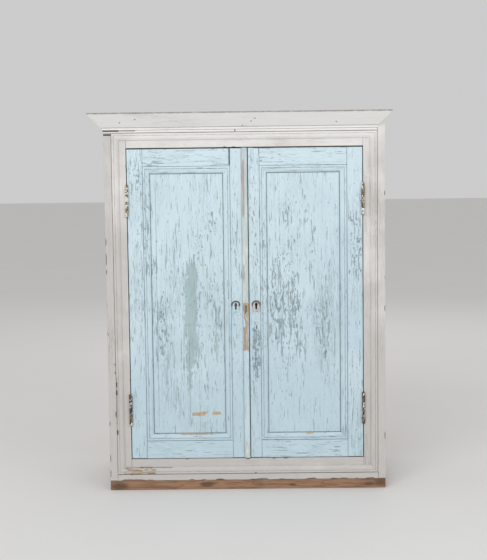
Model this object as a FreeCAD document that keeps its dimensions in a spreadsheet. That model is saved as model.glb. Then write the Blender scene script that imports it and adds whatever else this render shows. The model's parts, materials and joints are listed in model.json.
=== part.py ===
import FreeCAD, Part
import math
import os
import re

import Sketcher

# A free-standing painted pine cupboard with two framed and panelled doors.
# Units are millimetres and degrees. +Z is up and the front faces -Y. The origin lies on the floor,
# in the middle of the whole outline, cornice included. The body stands off centre under its cornice.

V = FreeCAD.Vector

SIZES = {
    # carcass
    "body_width": 790,
    "body_depth": 380,
    "body_height": 1076,
    "side_thickness": 21,
    "top_thickness": 20,
    "bottom_thickness": 17,
    "header_thickness": 21,
    "back_thickness": 10,
    "back_joint": 0.6,
    "base_height": 28,
    "base_thickness": 22,
    "base_setback": 2,
    # face frame and the moulding planted on it
    "frame_stile_width": 40,
    "frame_top_width": 42.5,
    "frame_bottom_width": 43.5,
    "frame_thickness": 22,
    "frame_setback": 8,
    "frame_moulding_width": 21,
    "frame_moulding_height": 8,
    # section shared by all the planted mouldings; a bow is an arc's radius as a share of the width it spans
    "moulding_bead": 7,
    "moulding_quirk": 1.5,
    "moulding_quirk_depth": 3,
    "moulding_step": 1.2,
    "moulding_lip": 1.5,
    "moulding_setback": 1,
    "cove_bow": 1.05,
    "bead_bow": 0.75,
    # cornice, a sloped fascia over two small bed steps, planted to the left of centre
    "cornice_shift": 12,
    "cornice_foot_inset": 7,
    "cornice_rise": 41,
    "cornice_projection": 36,
    "cornice_lip": 2.5,
    "bed_step_height": 7,
    "bed_step_depth": 1.8,
    # shelves
    "shelf_thickness": 18,
    "shelf_setback": 18,
    "shelf_play": 0.5,
    "lower_shelf_height": 320,
    "upper_shelf_height": 670,
    "batten_width": 18,
    "batten_height": 28,
    "batten_setback": 12,
    # doors
    "door_gap": 2,
    "door_thickness": 21.5,
    "hinge_stile_width": 43,
    "meeting_stile_width": 32,
    "door_rail_width": 50,
    "panel_thickness": 8,
    "panel_setback": 9,
    "panel_groove": 7,
    "panel_play": 1,
    "door_moulding_width": 20.5,
    "bead_width": 18,
    "bead_height": 5,
    "meeting_bead_bow": 0.95,
    # door stops behind the top rail
    "stop_thickness": 12,
    "stop_height": 28,
    "stop_overlap": 8,
    "stop_margin": 12,
    "stop_clearance": 4,
    # butt hinges
    "hinge_length": 89,
    "hinge_from_top": 102,
    "hinge_from_bottom": 98,
    "knuckle_radius": 4.5,
    "knuckle_gap": 0.4,
    "knuckle_proud": 0.2,
    "pin_radius": 2.2,
    "pin_play": 0.06,
    "pin_head_radius": 3.4,
    "pin_head_height": 1.6,
    "leaf_thickness": 1.1,
    "leaf_width": 24,
    "leaf_play": 0.1,
    # countersunk screws
    "screw_radius": 1.6,
    "screw_head_radius": 3,
    "screw_length": 13,
    "screw_play": 0.05,
    # keyhole plates and lock
    "keyhole_height": 533.5,
    "keyhole_inset": 20,
    "keyhole_radius": 4,
    "keyhole_slot_width": 5,
    "keyhole_slot_drop": 15,
    "plate_width": 26,
    "plate_foot_width": 18,
    "plate_drop": 22,
    "plate_thickness": 1.6,
    "plate_head_bow": 1.02,
    "lock_width": 38,
    "lock_height": 54,
    "lock_depth": 12,
    "lock_wall": 1.5,
    "lock_edge_gap": 1,
    "latch_height": 16,
    "latch_thickness": 5,
    "latch_length": 28,
    "latch_play": 0.3,
    "latch_setback": 0.9,
    # tower bolts inside the left door
    "bolt_radius": 4,
    "bolt_play": 0.08,
    "bolt_length": 96,
    "bolt_tip_setback": 2,
    "bolt_offset": 16,
    "bolt_standoff": 7,
    "bolt_screw_inset": 4.2,
    "bolt_plate_width": 28,
    "bolt_plate_setback": 4,
    "bolt_plate_length": 84,
    "bolt_plate_thickness": 1.5,
    "guide_width": 16,
    "guide_depth": 12.5,
    "guide_height": 8,
    "bolt_knob_radius": 3,
    "bolt_knob_length": 12,
    "bolt_knob_share": 0.58,
    "keeper_width": 46,
    "keeper_height": 10,
    "keeper_gap": 3,
    "keeper_play": 0.8,
    "keeper_wall": 2,
}

# Places and sizes that follow from the ones above.
DERIVED = {
    "cornice_foot": "cornice_shift - cornice_foot_inset",
    "cornice_width": "cornice_foot + cornice_projection",
    "cornice_height": "cornice_rise + 2 * bed_step_height",
    "cornice_half": "body_width / 2 - cornice_foot_inset + cornice_projection",
    "centre": "cornice_shift",
    "body_left": "centre - body_width / 2",
    "body_right": "centre + body_width / 2",
    "front_y": "-(body_depth + cornice_width) / 2",
    "face_y": "front_y + cornice_width",
    "back_y": "face_y + body_depth",
    "back_front_y": "back_y - back_thickness",
    "inner_left": "body_left + side_thickness",
    "inner_right": "body_right - side_thickness",
    "floor_z": "base_height + bottom_thickness",
    "rail_top_z": "body_height - cornice_height",
    "ceiling_z": "body_height - top_thickness",
    "frame_y": "face_y + frame_setback",
    "frame_back_y": "frame_y + frame_thickness",
    "opening_left": "inner_left + frame_stile_width",
    "opening_right": "inner_right - frame_stile_width",
    "opening_bottom": "floor_z + frame_bottom_width",
    "opening_top": "rail_top_z - frame_top_width",
    "hinge_gap": "2 * (leaf_thickness + leaf_play)",
    "door_back_y": "frame_y + door_thickness",
    "door_bottom": "opening_bottom + door_gap",
    "door_top": "opening_top - door_gap",
    "left_door_low": "opening_left + hinge_gap",
    "left_door_high": "centre + (bead_width - door_gap) / 2",
    "right_door_low": "centre + (bead_width + door_gap) / 2",
    "right_door_high": "opening_right - hinge_gap",
    "left_meeting_width": "meeting_stile_width + bead_width - door_gap / 2",
    "right_meeting_width": "meeting_stile_width - door_gap / 2",
    "panel_front_y": "frame_y + panel_setback",
    "panel_back_y": "panel_front_y + panel_thickness",
    "panel_reach": "panel_groove - panel_play",
    "door_moulding_height": "panel_setback - moulding_setback",
    "left_pin_x": "opening_left + hinge_gap / 2",
    "right_pin_x": "opening_right - hinge_gap / 2",
    "pin_y": "frame_y - knuckle_radius - knuckle_proud",
    "knuckle_pitch": "hinge_length / 5",
    "upper_hinge_z": "door_top - hinge_from_top - hinge_length",
    "lower_hinge_z": "door_bottom + hinge_from_bottom",
    "left_keyhole_x": "centre - bead_width / 2 - keyhole_inset",
    "right_keyhole_x": "centre + bead_width / 2 + keyhole_inset",
    "lock_low": "right_door_low + lock_edge_gap",
    "lock_bottom": "keyhole_height - lock_height / 2",
    "bolt_x": "centre - bolt_offset",
    "bolt_y": "door_back_y + bolt_standoff",
    "stop_inner_gap": "keeper_width / 2 + stop_clearance",
}

KNUCKLES = 5
SCREWS_PER_LEAF = 3
BACK_BOARDS = 5

doc = FreeCAD.newDocument("PantryCabinet")
sheet = doc.addObject("Spreadsheet::Sheet", "Sizes")
for row, (alias, value) in enumerate(SIZES.items(), start=1):
    sheet.set(f"A{row}", alias)
    sheet.set(f"B{row}", str(value))
    sheet.setAlias(f"B{row}", alias)
doc.recompute()

subparts = []


def formula(text):
    """Write a formula in the sheet's own names, with each derived name opened up."""

    def name(match):
        word = match.group()
        if word in DERIVED:
            return "(" + formula(DERIVED[word]) + ")"
        if word in SIZES:
            return "Sizes." + word
        raise NameError(word)

    return re.sub(r"[a-z_]+", name, str(text))


def measure(text):
    """The value of a formula, in millimetres."""
    return float(sheet.evalExpression(formula(text)))


def bind(item, **formulas):
    for prop, text in formulas.items():
        item.setExpression(prop.replace("__", "."), formula(text))


def place(item, at, turn=None):
    """Put an object at a point given by three formulas, turned by a fixed rotation."""
    item.Placement = FreeCAD.Placement(V(), turn or FreeCAD.Rotation())
    bind(item, Placement__Base__x=at[0], Placement__Base__y=at[1], Placement__Base__z=at[2])
    return item


def keep(item, label):
    item.Label = label
    subparts.append(item)
    return item


def box(name, across, deep, high):
    """A board between two X, two Y and two Z formulas."""
    board = doc.addObject("Part::Box", name)
    bind(board, Length=f"({across[1]}) - ({across[0]})", Width=f"({deep[1]}) - ({deep[0]})")
    bind(board, Height=f"({high[1]}) - ({high[0]})")
    return place(board, (across[0], deep[0], high[0]))


AXES = {
    "+X": FreeCAD.Rotation(V(0, 1, 0), 90),
    "-X": FreeCAD.Rotation(V(0, 1, 0), -90),
    "+Y": FreeCAD.Rotation(V(1, 0, 0), -90),
    "-Y": FreeCAD.Rotation(V(1, 0, 0), 90),
    "+Z": FreeCAD.Rotation(),
    "-Z": FreeCAD.Rotation(V(1, 0, 0), 180),
}


def rod(name, at, axis, radius, length):
    bar = doc.addObject("Part::Cylinder", name)
    bind(bar, Radius=radius, Height=length)
    return place(bar, at, AXES[axis])


def taper(name, at, axis, wide, narrow, length):
    cone = doc.addObject("Part::Cone", name)
    bind(cone, Radius1=wide, Radius2=narrow, Height=length)
    return place(cone, at, AXES[axis])


def fuse(name, pieces):
    joined = doc.addObject("Part::MultiFuse", name)
    joined.Shapes = pieces
    return joined


def cut(name, base, tools):
    cutting = doc.addObject("Part::Cut", name)
    cutting.Base = base
    cutting.Tool = tools[0] if len(tools) == 1 else fuse(name + "_tools", tools)
    return cutting


def group(label, pieces):
    """Like pieces that share one node, each a solid of its own."""
    gathered = doc.addObject("Part::Compound", label)
    gathered.Links = pieces
    return keep(gathered, label)


def outline(body, name, role, points):
    """A closed sketch through points (u, v) or (u, v, radius) on one of the body's origin planes.

    A radius bends the edge that leaves its point: above zero it bulges to the right of the way
    the outline runs, and below zero to the left.
    """
    sketch = body.newObject("Sketcher::SketchObject", name)
    plane = [item for item in body.Origin.OriginFeatures if item.Role == role][0]
    sketch.AttachmentSupport = [(plane, "")]
    sketch.MapMode = "FlatFace"
    add_loop(sketch, points)
    return sketch


def add_loop(sketch, points):
    first = sketch.GeometryCount
    count = len(points)
    spots = [V(measure(point[0]), measure(point[1]), 0) for point in points]
    for number, point in enumerate(points):
        start, end = spots[number], spots[(number + 1) % count]
        if len(point) == 2:
            sketch.addGeometry(Part.LineSegment(start, end), False)
        else:
            sketch.addGeometry(bow(start, end, measure(point[2])), False)
    for number, point in enumerate(points):
        # an arc that bulges to the left runs from its far end to its near end
        here = first + number
        after = first + (number + 1) % count
        here_end = 1 if is_backwards(points[number]) else 2
        after_start = 2 if is_backwards(points[(number + 1) % count]) else 1
        sketch.addConstraint(Sketcher.Constraint("Coincident", here, here_end, after, after_start))
    for number, point in enumerate(points):
        here = first + number
        start = 2 if is_backwards(point) else 1
        for kind, text in (("DistanceX", point[0]), ("DistanceY", point[1])):
            fix(sketch, Sketcher.Constraint(kind, -1, 1, here, start, measure(text)), text)
        if len(point) == 3:
            size = point[2].lstrip("-")
            fix(sketch, Sketcher.Constraint("Radius", here, measure(size)), size)


def is_backwards(point):
    return len(point) == 3 and point[2].startswith("-")


def fix(sketch, constraint, text):
    index = sketch.addConstraint(constraint)
    sketch.setExpression(f"Constraints[{index}]", formula(text))


def bow(start, end, radius):
    """The short arc between two points; the sign of its radius says which way it bulges."""
    middle = (start + end) / 2
    chord = end - start
    right = V(chord.y, -chord.x, 0).normalize()
    drop = math.sqrt(radius ** 2 - (chord.Length / 2) ** 2)
    bulge = 1 if radius > 0 else -1
    centre = middle - right * (bulge * drop)
    top = centre + right * (bulge * abs(radius))
    arc = Part.Arc(start, top, end)
    return arc


def moulding_section(width, height):
    """A quirk and a low bead at the outer edge, then a cove that falls to a thin lip."""
    return [
        ("0", "0"),
        (width, "0"),
        (width, "moulding_lip", f"-cove_bow * (({width}) - moulding_bead)"),
        ("moulding_bead", f"({height}) - moulding_step"),
        ("moulding_bead", height, "bead_bow * moulding_bead"),
        ("moulding_quirk", height),
        ("0", f"({height}) - moulding_quirk_depth"),
    ]


CORNICE_SECTION = [
    ("0", "cornice_height"),
    ("0", "cornice_height - cornice_lip"),
    ("cornice_projection", "2 * bed_step_height"),
    ("cornice_projection + bed_step_depth", "2 * bed_step_height"),
    ("cornice_projection + bed_step_depth", "bed_step_height"),
    ("cornice_projection + 2 * bed_step_depth", "bed_step_height"),
    ("cornice_projection + 2 * bed_step_depth", "0"),
    ("cornice_width", "0"),
    ("cornice_width", "cornice_height"),
]


def strip(label, length, width, section, at, turn, mitres=(-1, 1)):
    """A length of moulding, its outer edge the longer one, with mitres at the chosen ends.

    Its own X runs along it from its middle, Y from the outer edge inwards and Z up off its seat.
    """
    body = doc.addObject("PartDesign::Body", label)
    profile = outline(body, label + "_section", "YZ_Plane", section)
    doc.recompute()
    run = body.newObject("PartDesign::Pad", label + "_run")
    run.Profile = profile
    run.SideType = "Symmetric"
    bind(run, Length=length)
    doc.recompute()
    before = run.Shape.Volume
    for end in mitres:
        near = f"{end} * (({length}) / 2 + 1)"
        far = f"{end} * (({length}) / 2 - ({width}) - 1)"
        corners = [(near, "-1"), (near, f"({width}) + 1"), (far, f"({width}) + 1")]
        side = "right" if end > 0 else "left"
        waste = outline(body, f"{label}_{side}_waste", "XY_Plane", corners)
        mitre = body.newObject("PartDesign::Pocket", f"{label}_{side}_mitre")
        mitre.Profile = waste
        mitre.Type = "ThroughAll"
        mitre.SideType = "Symmetric"
        doc.recompute()
        assert mitre.Shape.Volume < before, label
        before = mitre.Shape.Volume
    return place(body, at, turn)


def facing(along, inward):
    """The turn that lays a strip on a front face, X along it and Y inwards, seat to the back."""
    return FreeCAD.Rotation(V(*along), V(*inward), V(0, -1, 0), "ZYX")


def moulding_ring(prefix, left, right, bottom, top, seat_y, width, height):
    """Four mitred mouldings round a rectangle, on a face at seat_y."""
    wide = f"({right}) - ({left})"
    tall = f"({top}) - ({bottom})"
    middle_x = f"(({left}) + ({right})) / 2"
    middle_z = f"(({bottom}) + ({top})) / 2"
    lengths = {
        "top": (wide, (middle_x, seat_y, top), facing((-1, 0, 0), (0, 0, -1))),
        "bottom": (wide, (middle_x, seat_y, bottom), facing((1, 0, 0), (0, 0, 1))),
        "left": (tall, (left, seat_y, middle_z), facing((0, 0, -1), (1, 0, 0))),
        "right": (tall, (right, seat_y, middle_z), facing((0, 0, 1), (-1, 0, 0))),
    }
    section = moulding_section(width, height)
    for side, (length, at, turn) in lengths.items():
        label = f"{prefix}_{side}"
        keep(strip(label, length, width, section, at, turn), label)


def screw(name, at, axis, head_depth):
    """A countersunk screw driven along axis from its head's face, with the holes that it needs."""
    def further(distance):
        sign, letter = axis[0], axis[1]
        return tuple(
            f"({spot}) {sign} ({distance})" if letter == which else spot
            for spot, which in zip(at, "XYZ")
        )

    head = taper(name + "_head", at, axis, "screw_head_radius", "screw_radius", head_depth)
    shank = rod(name + "_shank", further(head_depth), axis, "screw_radius", "screw_length")
    sink = taper(name + "_sink", at, axis, "screw_head_radius + screw_play", "screw_radius + screw_play",
                 head_depth)
    pilot = rod(name + "_pilot", further(head_depth), axis, "screw_radius + screw_play",
                "screw_length + screw_play")
    return fuse(name, [head, shank]), sink, pilot


# ---- carcass ----------------------------------------------------------------------------------

def build_carcass():
    depth = ("face_y", "back_y")
    between = ("inner_left", "inner_right")
    inside_depth = ("face_y", "back_front_y")
    upright = ("base_height", "body_height")
    keep(box("side_left", ("body_left", "inner_left"), depth, upright), "side_left")
    keep(box("side_right", ("inner_right", "body_right"), depth, upright), "side_right")
    keep(box("top_board", between, inside_depth, ("ceiling_z", "body_height")), "top_board")
    keep(box("bottom_board", between, inside_depth, ("base_height", "floor_z")), "bottom_board")
    header_depth = ("face_y", "face_y + header_thickness")
    keep(box("header_board", between, header_depth, ("rail_top_z", "ceiling_z")), "header_board")
    pitch = f"(inner_right - inner_left) / {BACK_BOARDS}"
    boards = []
    for number in range(BACK_BOARDS):
        low = f"inner_left + {number} * {pitch} + back_joint / 2"
        high = f"inner_left + {number + 1} * {pitch} - back_joint / 2"
        boards.append(box(f"back_board_{number + 1}", (low, high), ("back_front_y", "back_y"), upright))
    group("back_boards", boards)


def build_base():
    front = ("face_y + base_setback", "face_y + base_setback + base_thickness")
    rear = ("back_y - base_thickness", "back_y")
    between = (front[1], rear[0])
    low = ("0", "base_height")
    whole = ("body_left", "body_right")
    keep(box("base_front", whole, front, low), "base_front")
    keep(box("base_back", whole, rear, low), "base_back")
    keep(box("base_left", ("body_left", "body_left + base_thickness"), between, low), "base_left")
    keep(box("base_right", ("body_right - base_thickness", "body_right"), between, low), "base_right")


def build_frame(left_pilots, right_pilots, top_pilots, bottom_pilots):
    """The face frame, with pilot holes for the hinge and keeper screws."""
    deep = ("frame_y", "frame_back_y")
    tall = ("floor_z", "rail_top_z")
    wide = ("opening_left", "opening_right")
    left = box("frame_stile_left_blank", ("inner_left", "opening_left"), deep, tall)
    right = box("frame_stile_right_blank", ("opening_right", "inner_right"), deep, tall)
    top = box("frame_rail_top_blank", wide, deep, ("opening_top", "rail_top_z"))
    bottom = box("frame_rail_bottom_blank", wide, deep, ("floor_z", "opening_bottom"))
    keep(cut("frame_stile_left", left, left_pilots), "frame_stile_left")
    keep(cut("frame_stile_right", right, right_pilots), "frame_stile_right")
    keep(cut("frame_rail_top", top, top_pilots), "frame_rail_top")
    keep(cut("frame_rail_bottom", bottom, bottom_pilots), "frame_rail_bottom")
    moulding_ring("frame_moulding", "inner_left", "inner_right", "floor_z", "rail_top_z", "frame_y",
                  "frame_moulding_width", "frame_moulding_height")


def build_cornice():
    """The front length and two returns. The right one is notched over the side, which stands past it."""
    foot_z = "body_height - cornice_height"
    width, section = "cornice_width", CORNICE_SECTION
    front = strip("cornice_front", "2 * cornice_half", width, section, ("0", "front_y", foot_z),
                  FreeCAD.Rotation())
    run = "back_y - front_y"
    middle = "(back_y + front_y) / 2"
    left = strip("cornice_return_left", run, width, section, ("-cornice_half", middle, foot_z),
                 FreeCAD.Rotation(V(0, 0, 1), -90), mitres=(1,))
    right = strip("cornice_return_right_blank", run, width, section, ("cornice_half", middle, foot_z),
                  FreeCAD.Rotation(V(0, 0, 1), 90), mitres=(-1,))
    notch = box("cornice_return_right_notch", ("cornice_half - cornice_width - 1", "body_right"),
                ("face_y", "back_y + 1"), (f"{foot_z} - 1", "body_height + 1"))
    keep(front, "cornice_front")
    keep(left, "cornice_return_left")
    keep(cut("cornice_return_right", right, [notch]), "cornice_return_right")


def build_shelves():
    deep = ("frame_back_y + shelf_setback", "back_front_y")
    across = ("inner_left + shelf_play", "inner_right - shelf_play")
    batten_deep = ("frame_back_y + shelf_setback + batten_setback", "back_front_y")
    battens = []
    for name, level in (("lower", "lower_shelf_height"), ("upper", "upper_shelf_height")):
        keep(box(f"shelf_{name}", across, deep, (level, f"{level} + shelf_thickness")), f"shelf_{name}")
        under = (f"{level} - batten_height", level)
        left = ("inner_left", "inner_left + batten_width")
        right = ("inner_right - batten_width", "inner_right")
        battens.append(box(f"batten_{name}_left", left, batten_deep, under))
        battens.append(box(f"batten_{name}_right", right, batten_deep, under))
    group("shelf_battens", battens)


def build_stops():
    """Two strips behind the top rail that the doors close against, clear of the tower bolt."""
    deep = ("frame_back_y", "frame_back_y + stop_thickness")
    high = ("opening_top - stop_overlap", "opening_top - stop_overlap + stop_height")
    left = box("door_stop_left", ("opening_left + stop_margin", "bolt_x - stop_inner_gap"), deep, high)
    right = box("door_stop_right", ("bolt_x + stop_inner_gap", "opening_right - stop_margin"), deep, high)
    group("door_stops", [left, right])


# ---- hinges -----------------------------------------------------------------------------------

def hinge_leaf(name, pin_x, low, high, bottom, turns, screw_face, screw_axis):
    """One leaf with its knuckles; turns picks the knuckles that it carries. Also its screws."""
    plate = box(name + "_plate", (low, high), ("frame_y", "pin_y + leaf_width"),
                (bottom, f"{bottom} + hinge_length"))
    pieces = [plate]
    for number in turns:
        knuckle_z = f"{bottom} + {number} * knuckle_pitch + knuckle_gap / 2"
        length = "knuckle_pitch - knuckle_gap"
        pieces.append(rod(f"{name}_knuckle_{number + 1}", (pin_x, "pin_y", knuckle_z), "+Z",
                          "knuckle_radius", length))
        pieces.append(box(f"{name}_tab_{number + 1}", (low, high), ("pin_y", "frame_y"),
                          (knuckle_z, f"{knuckle_z} + {length}")))
    bore = rod(name + "_bore", (pin_x, "pin_y", f"{bottom} - 1"), "+Z", "pin_radius + pin_play",
               "hinge_length + 2")
    screws, sinks, pilots = [], [], []
    screw_y = "(frame_y + pin_y + leaf_width) / 2"
    for number in range(SCREWS_PER_LEAF):
        screw_z = f"{bottom} + ({2 * number + 1}) * hinge_length / {2 * SCREWS_PER_LEAF}"
        driven, sink, pilot = screw(f"{name}_screw_{number + 1}", (screw_face, screw_y, screw_z),
                                    screw_axis, "leaf_thickness")
        screws.append(driven)
        sinks.append(sink)
        pilots.append(pilot)
    leaf = cut(name, fuse(name + "_blank", pieces), [bore] + sinks)
    return leaf, screws, pilots


def build_hinges():
    """Four butt hinges. Returns the screws and pilot holes of each of the stiles."""
    fixed_turns = range(0, KNUCKLES, 2)
    moving_turns = range(1, KNUCKLES, 2)
    frame_leaves, pins, door_leaves = [], [], {"left": [], "right": []}
    stiles = ("frame_left", "frame_right", "door_left", "door_right")
    found = {stile: ([], [], []) for stile in stiles}
    sides = {
        "left": ("left_pin_x", ("opening_left", "opening_left + leaf_thickness"),
                 ("left_door_low - leaf_thickness", "left_door_low"), "-X", "+X"),
        "right": ("right_pin_x", ("opening_right - leaf_thickness", "opening_right"),
                  ("right_door_high", "right_door_high + leaf_thickness"), "+X", "-X"),
    }
    for side, (pin_x, frame_side, door_side, frame_way, door_way) in sides.items():
        frame_face = frame_side[1] if side == "left" else frame_side[0]
        door_face = door_side[0] if side == "left" else door_side[1]
        for level, bottom in (("upper", "upper_hinge_z"), ("lower", "lower_hinge_z")):
            tag = f"{side}_{level}"
            leaf, screws, pilots = hinge_leaf(f"frame_leaf_{tag}", pin_x, *frame_side, bottom, fixed_turns,
                                              frame_face, frame_way)
            frame_leaves.append(leaf)
            found["frame_" + side][1].extend(screws)
            found["frame_" + side][2].extend(pilots)
            leaf, screws, pilots = hinge_leaf(f"door_leaf_{tag}", pin_x, *door_side, bottom, moving_turns,
                                              door_face, door_way)
            door_leaves[side].append(leaf)
            found["door_" + side][1].extend(screws)
            found["door_" + side][2].extend(pilots)
            shaft = rod(f"pin_shaft_{tag}", (pin_x, "pin_y", bottom), "+Z", "pin_radius", "hinge_length")
            cap = rod(f"pin_cap_{tag}", (pin_x, "pin_y", f"{bottom} + hinge_length"), "+Z",
                      "pin_head_radius", "pin_head_height")
            foot = rod(f"pin_foot_{tag}", (pin_x, "pin_y", f"{bottom} - pin_head_height"), "+Z",
                       "pin_head_radius", "pin_head_height")
            pins.append(fuse(f"hinge_pin_{tag}", [shaft, cap, foot]))
    group("hinge_pins", pins)
    group("frame_hinge_leaves", frame_leaves)
    group("left_door_hinge_leaves", door_leaves["left"])
    group("right_door_hinge_leaves", door_leaves["right"])
    return found


# ---- doors ------------------------------------------------------------------------------------

def keyhole(name, x, start_y, end_y):
    """A keyhole cutter, round above and slotted below, between two Y formulas."""
    depth = f"({end_y}) - ({start_y})"
    head = rod(name + "_head", (x, start_y, "keyhole_height"), "+Y", "keyhole_radius", depth)
    half = "keyhole_slot_width / 2"
    slot = box(name + "_slot", (f"{x} - {half}", f"{x} + {half}"), (start_y, end_y),
               ("keyhole_height - keyhole_slot_drop", "keyhole_height"))
    return fuse(name, [head, slot])


def keyhole_plate(label, x):
    """A small plate with an arched head and sides that draw in to a flat foot."""
    body = doc.addObject("PartDesign::Body", label + "_blank")
    half, foot = "plate_width / 2", "plate_foot_width / 2"
    points = [
        (f"-{foot}", "-plate_drop"),
        (foot, "-plate_drop"),
        (half, "0", f"plate_head_bow * {half}"),
        (f"-{half}", "0"),
    ]
    profile = outline(body, label + "_outline", "XZ_Plane", points)
    doc.recompute()
    sheet_metal = body.newObject("PartDesign::Pad", label + "_sheet")
    sheet_metal.Profile = profile
    bind(sheet_metal, Length="plate_thickness")
    doc.recompute()
    place(body, (x, "frame_y", "keyhole_height"))
    hole = keyhole(label + "_keyhole", x, "frame_y - plate_thickness - 1", "frame_y + 1")
    return keep(cut(label, body, [hole]), label)


def build_door(side, low, high, low_width, high_width, low_pilots, high_pilots, low_name, high_name):
    """A framed door: two full-height stiles, two rails, a flat panel in grooves and its mouldings."""
    deep = ("frame_y", "door_back_y")
    tall = ("door_bottom", "door_top")
    inner = (f"{low} + {low_width}", f"{high} - {high_width}")
    inner_z = ("door_bottom + door_rail_width", "door_top - door_rail_width")
    groove_y = ("panel_front_y", "panel_back_y")
    groove_z = (f"{inner_z[0]} - panel_groove", f"{inner_z[1]} + panel_groove")
    prefix = side + "_door"

    def stile(name, across, groove_x, pilots):
        blank = box(f"{prefix}_{name}_blank", across, deep, tall)
        groove = box(f"{prefix}_{name}_groove", groove_x, groove_y, groove_z)
        keep(cut(f"{prefix}_{name}", blank, [groove] + pilots), f"{prefix}_{name}")

    def rail(name, levels, groove_levels):
        blank = box(f"{prefix}_{name}_blank", inner, deep, levels)
        groove = box(f"{prefix}_{name}_groove", inner, groove_y, groove_levels)
        keep(cut(f"{prefix}_{name}", blank, [groove]), f"{prefix}_{name}")

    stile(low_name, (low, inner[0]), (f"{inner[0]} - panel_groove", inner[0]), low_pilots)
    stile(high_name, (inner[1], high), (inner[1], f"{inner[1]} + panel_groove"), high_pilots)
    rail("top_rail", (inner_z[1], "door_top"), (inner_z[1], groove_z[1]))
    rail("bottom_rail", ("door_bottom", inner_z[0]), (groove_z[0], inner_z[0]))
    panel_x = (f"{inner[0]} - panel_reach", f"{inner[1]} + panel_reach")
    panel_z = (f"{inner_z[0]} - panel_reach", f"{inner_z[1]} + panel_reach")
    keep(box(prefix + "_panel", panel_x, groove_y, panel_z), prefix + "_panel")
    moulding_ring(prefix + "_moulding", inner[0], inner[1], inner_z[0], inner_z[1], "panel_front_y",
                  "door_moulding_width", "door_moulding_height")


def build_bead():
    """A rounded bead planted on the left door's meeting edge."""
    body = doc.addObject("PartDesign::Body", "meeting_bead")
    half = "bead_width / 2 - door_gap / 4"
    shoulder = "bead_height / 2"
    points = [
        (half, "0"),
        (f"-({half})", "0"),
        (f"-({half})", f"-{shoulder}", "bead_width * meeting_bead_bow"),
        (half, f"-{shoulder}"),
    ]
    profile = outline(body, "bead_section", "XY_Plane", points)
    doc.recompute()
    run = body.newObject("PartDesign::Pad", "bead_run")
    run.Profile = profile
    bind(run, Length="door_top - door_bottom")
    doc.recompute()
    keep(place(body, (f"left_door_high - ({half})", "frame_y", "door_bottom")), "meeting_bead")


# ---- lock and bolts ---------------------------------------------------------------------------

def build_lock():
    """A surface lock on the back of the right door: an open-backed case and its sliding latch bolt."""
    back = "door_back_y + lock_depth"
    high = ("lock_bottom", "lock_bottom + lock_height")
    across = ("lock_low", "lock_low + lock_width")
    case = box("lock_case_blank", across, ("door_back_y", back), high)
    hollow = box("lock_case_hollow", (f"{across[0]} + lock_wall", f"{across[1]} - lock_wall"),
                 ("door_back_y - 1", f"{back} - lock_wall"),
                 (f"{high[0]} + lock_wall", f"{high[1]} - lock_wall"))
    latch_y = ("door_back_y + latch_setback", "door_back_y + latch_setback + latch_thickness")
    latch_z = ("keyhole_height + keyhole_radius", "keyhole_height + keyhole_radius + latch_height")
    mouth = box("lock_case_mouth", (f"{across[0]} - 1", f"{across[0]} + lock_wall + 1"),
                ("door_back_y - 1", f"{latch_y[1]} + latch_play"),
                (f"{latch_z[0]} - latch_play", f"{latch_z[1]} + latch_play"))
    keep(cut("lock_case", case, [hollow, mouth]), "lock_case")
    keep(box("lock_latch", (across[0], f"{across[0]} + latch_length"), latch_y, latch_z), "lock_latch")


def tower_bolt(level, tip_z, way):
    """A round bolt with its knob in a plate with two guides, and a keeper on the frame's rail."""
    sign = 1 if way == "+" else -1

    def span(near, far):
        low, high = f"{tip_z} - {sign} * ({near})", f"{tip_z} - {sign} * ({far})"
        return (high, low) if sign > 0 else (low, high)

    plate_top = "bolt_plate_setback"
    plate_end = f"{plate_top} + bolt_plate_length"
    half_plate, half_guide = "bolt_plate_width / 2", "guide_width / 2"
    plate_back = "door_back_y + bolt_plate_thickness"
    plate = box(f"bolt_{level}_plate_blank", (f"bolt_x - {half_plate}", f"bolt_x + {half_plate}"),
                ("door_back_y", plate_back), span(plate_top, plate_end))
    guides = []
    for number, start in enumerate((plate_top, f"{plate_end} - guide_height")):
        guides.append(box(f"bolt_{level}_guide_{number + 1}",
                          (f"bolt_x - {half_guide}", f"bolt_x + {half_guide}"),
                          (plate_back, "door_back_y + guide_depth"), span(start, f"{start} + guide_height")))
    bore_low, bore_high = span("-1", "bolt_length + 1")
    bore = rod(f"bolt_{level}_bore", ("bolt_x", "bolt_y", bore_low), "+Z", "bolt_radius + bolt_play",
               f"({bore_high}) - ({bore_low})")
    screws, sinks, pilots = [], [], []
    for number, along in enumerate((f"{plate_top} + 2 * guide_height", f"{plate_end} - 2 * guide_height")):
        for hand in (-1, 1):
            spot = (f"bolt_x + {hand} * ({half_plate} - bolt_screw_inset)", plate_back,
                    f"{tip_z} - {sign} * ({along})")
            driven, sink, pilot = screw(f"bolt_{level}_screw_{number}_{hand + 1}", spot, "-Y",
                                        "bolt_plate_thickness")
            screws.append(driven)
            sinks.append(sink)
            pilots.append(pilot)
    plate_piece = cut(f"bolt_{level}_plate", fuse(f"bolt_{level}_plate_solid", [plate] + guides),
                      [bore] + sinks)
    rod_low, rod_high = span("0", "bolt_length")
    bar = rod(f"bolt_{level}_bar", ("bolt_x", "bolt_y", rod_low), "+Z", "bolt_radius",
              f"({rod_high}) - ({rod_low})")
    knob_z = f"{tip_z} - {sign} * bolt_length * bolt_knob_share"
    knob = rod(f"bolt_{level}_knob", ("bolt_x", "bolt_y", knob_z), "+Y",
               "bolt_knob_radius", "bolt_knob_length")
    keep(fuse(f"{level}_bolt", [bar, knob]), f"{level}_bolt")
    return plate_piece, screws, pilots


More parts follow.
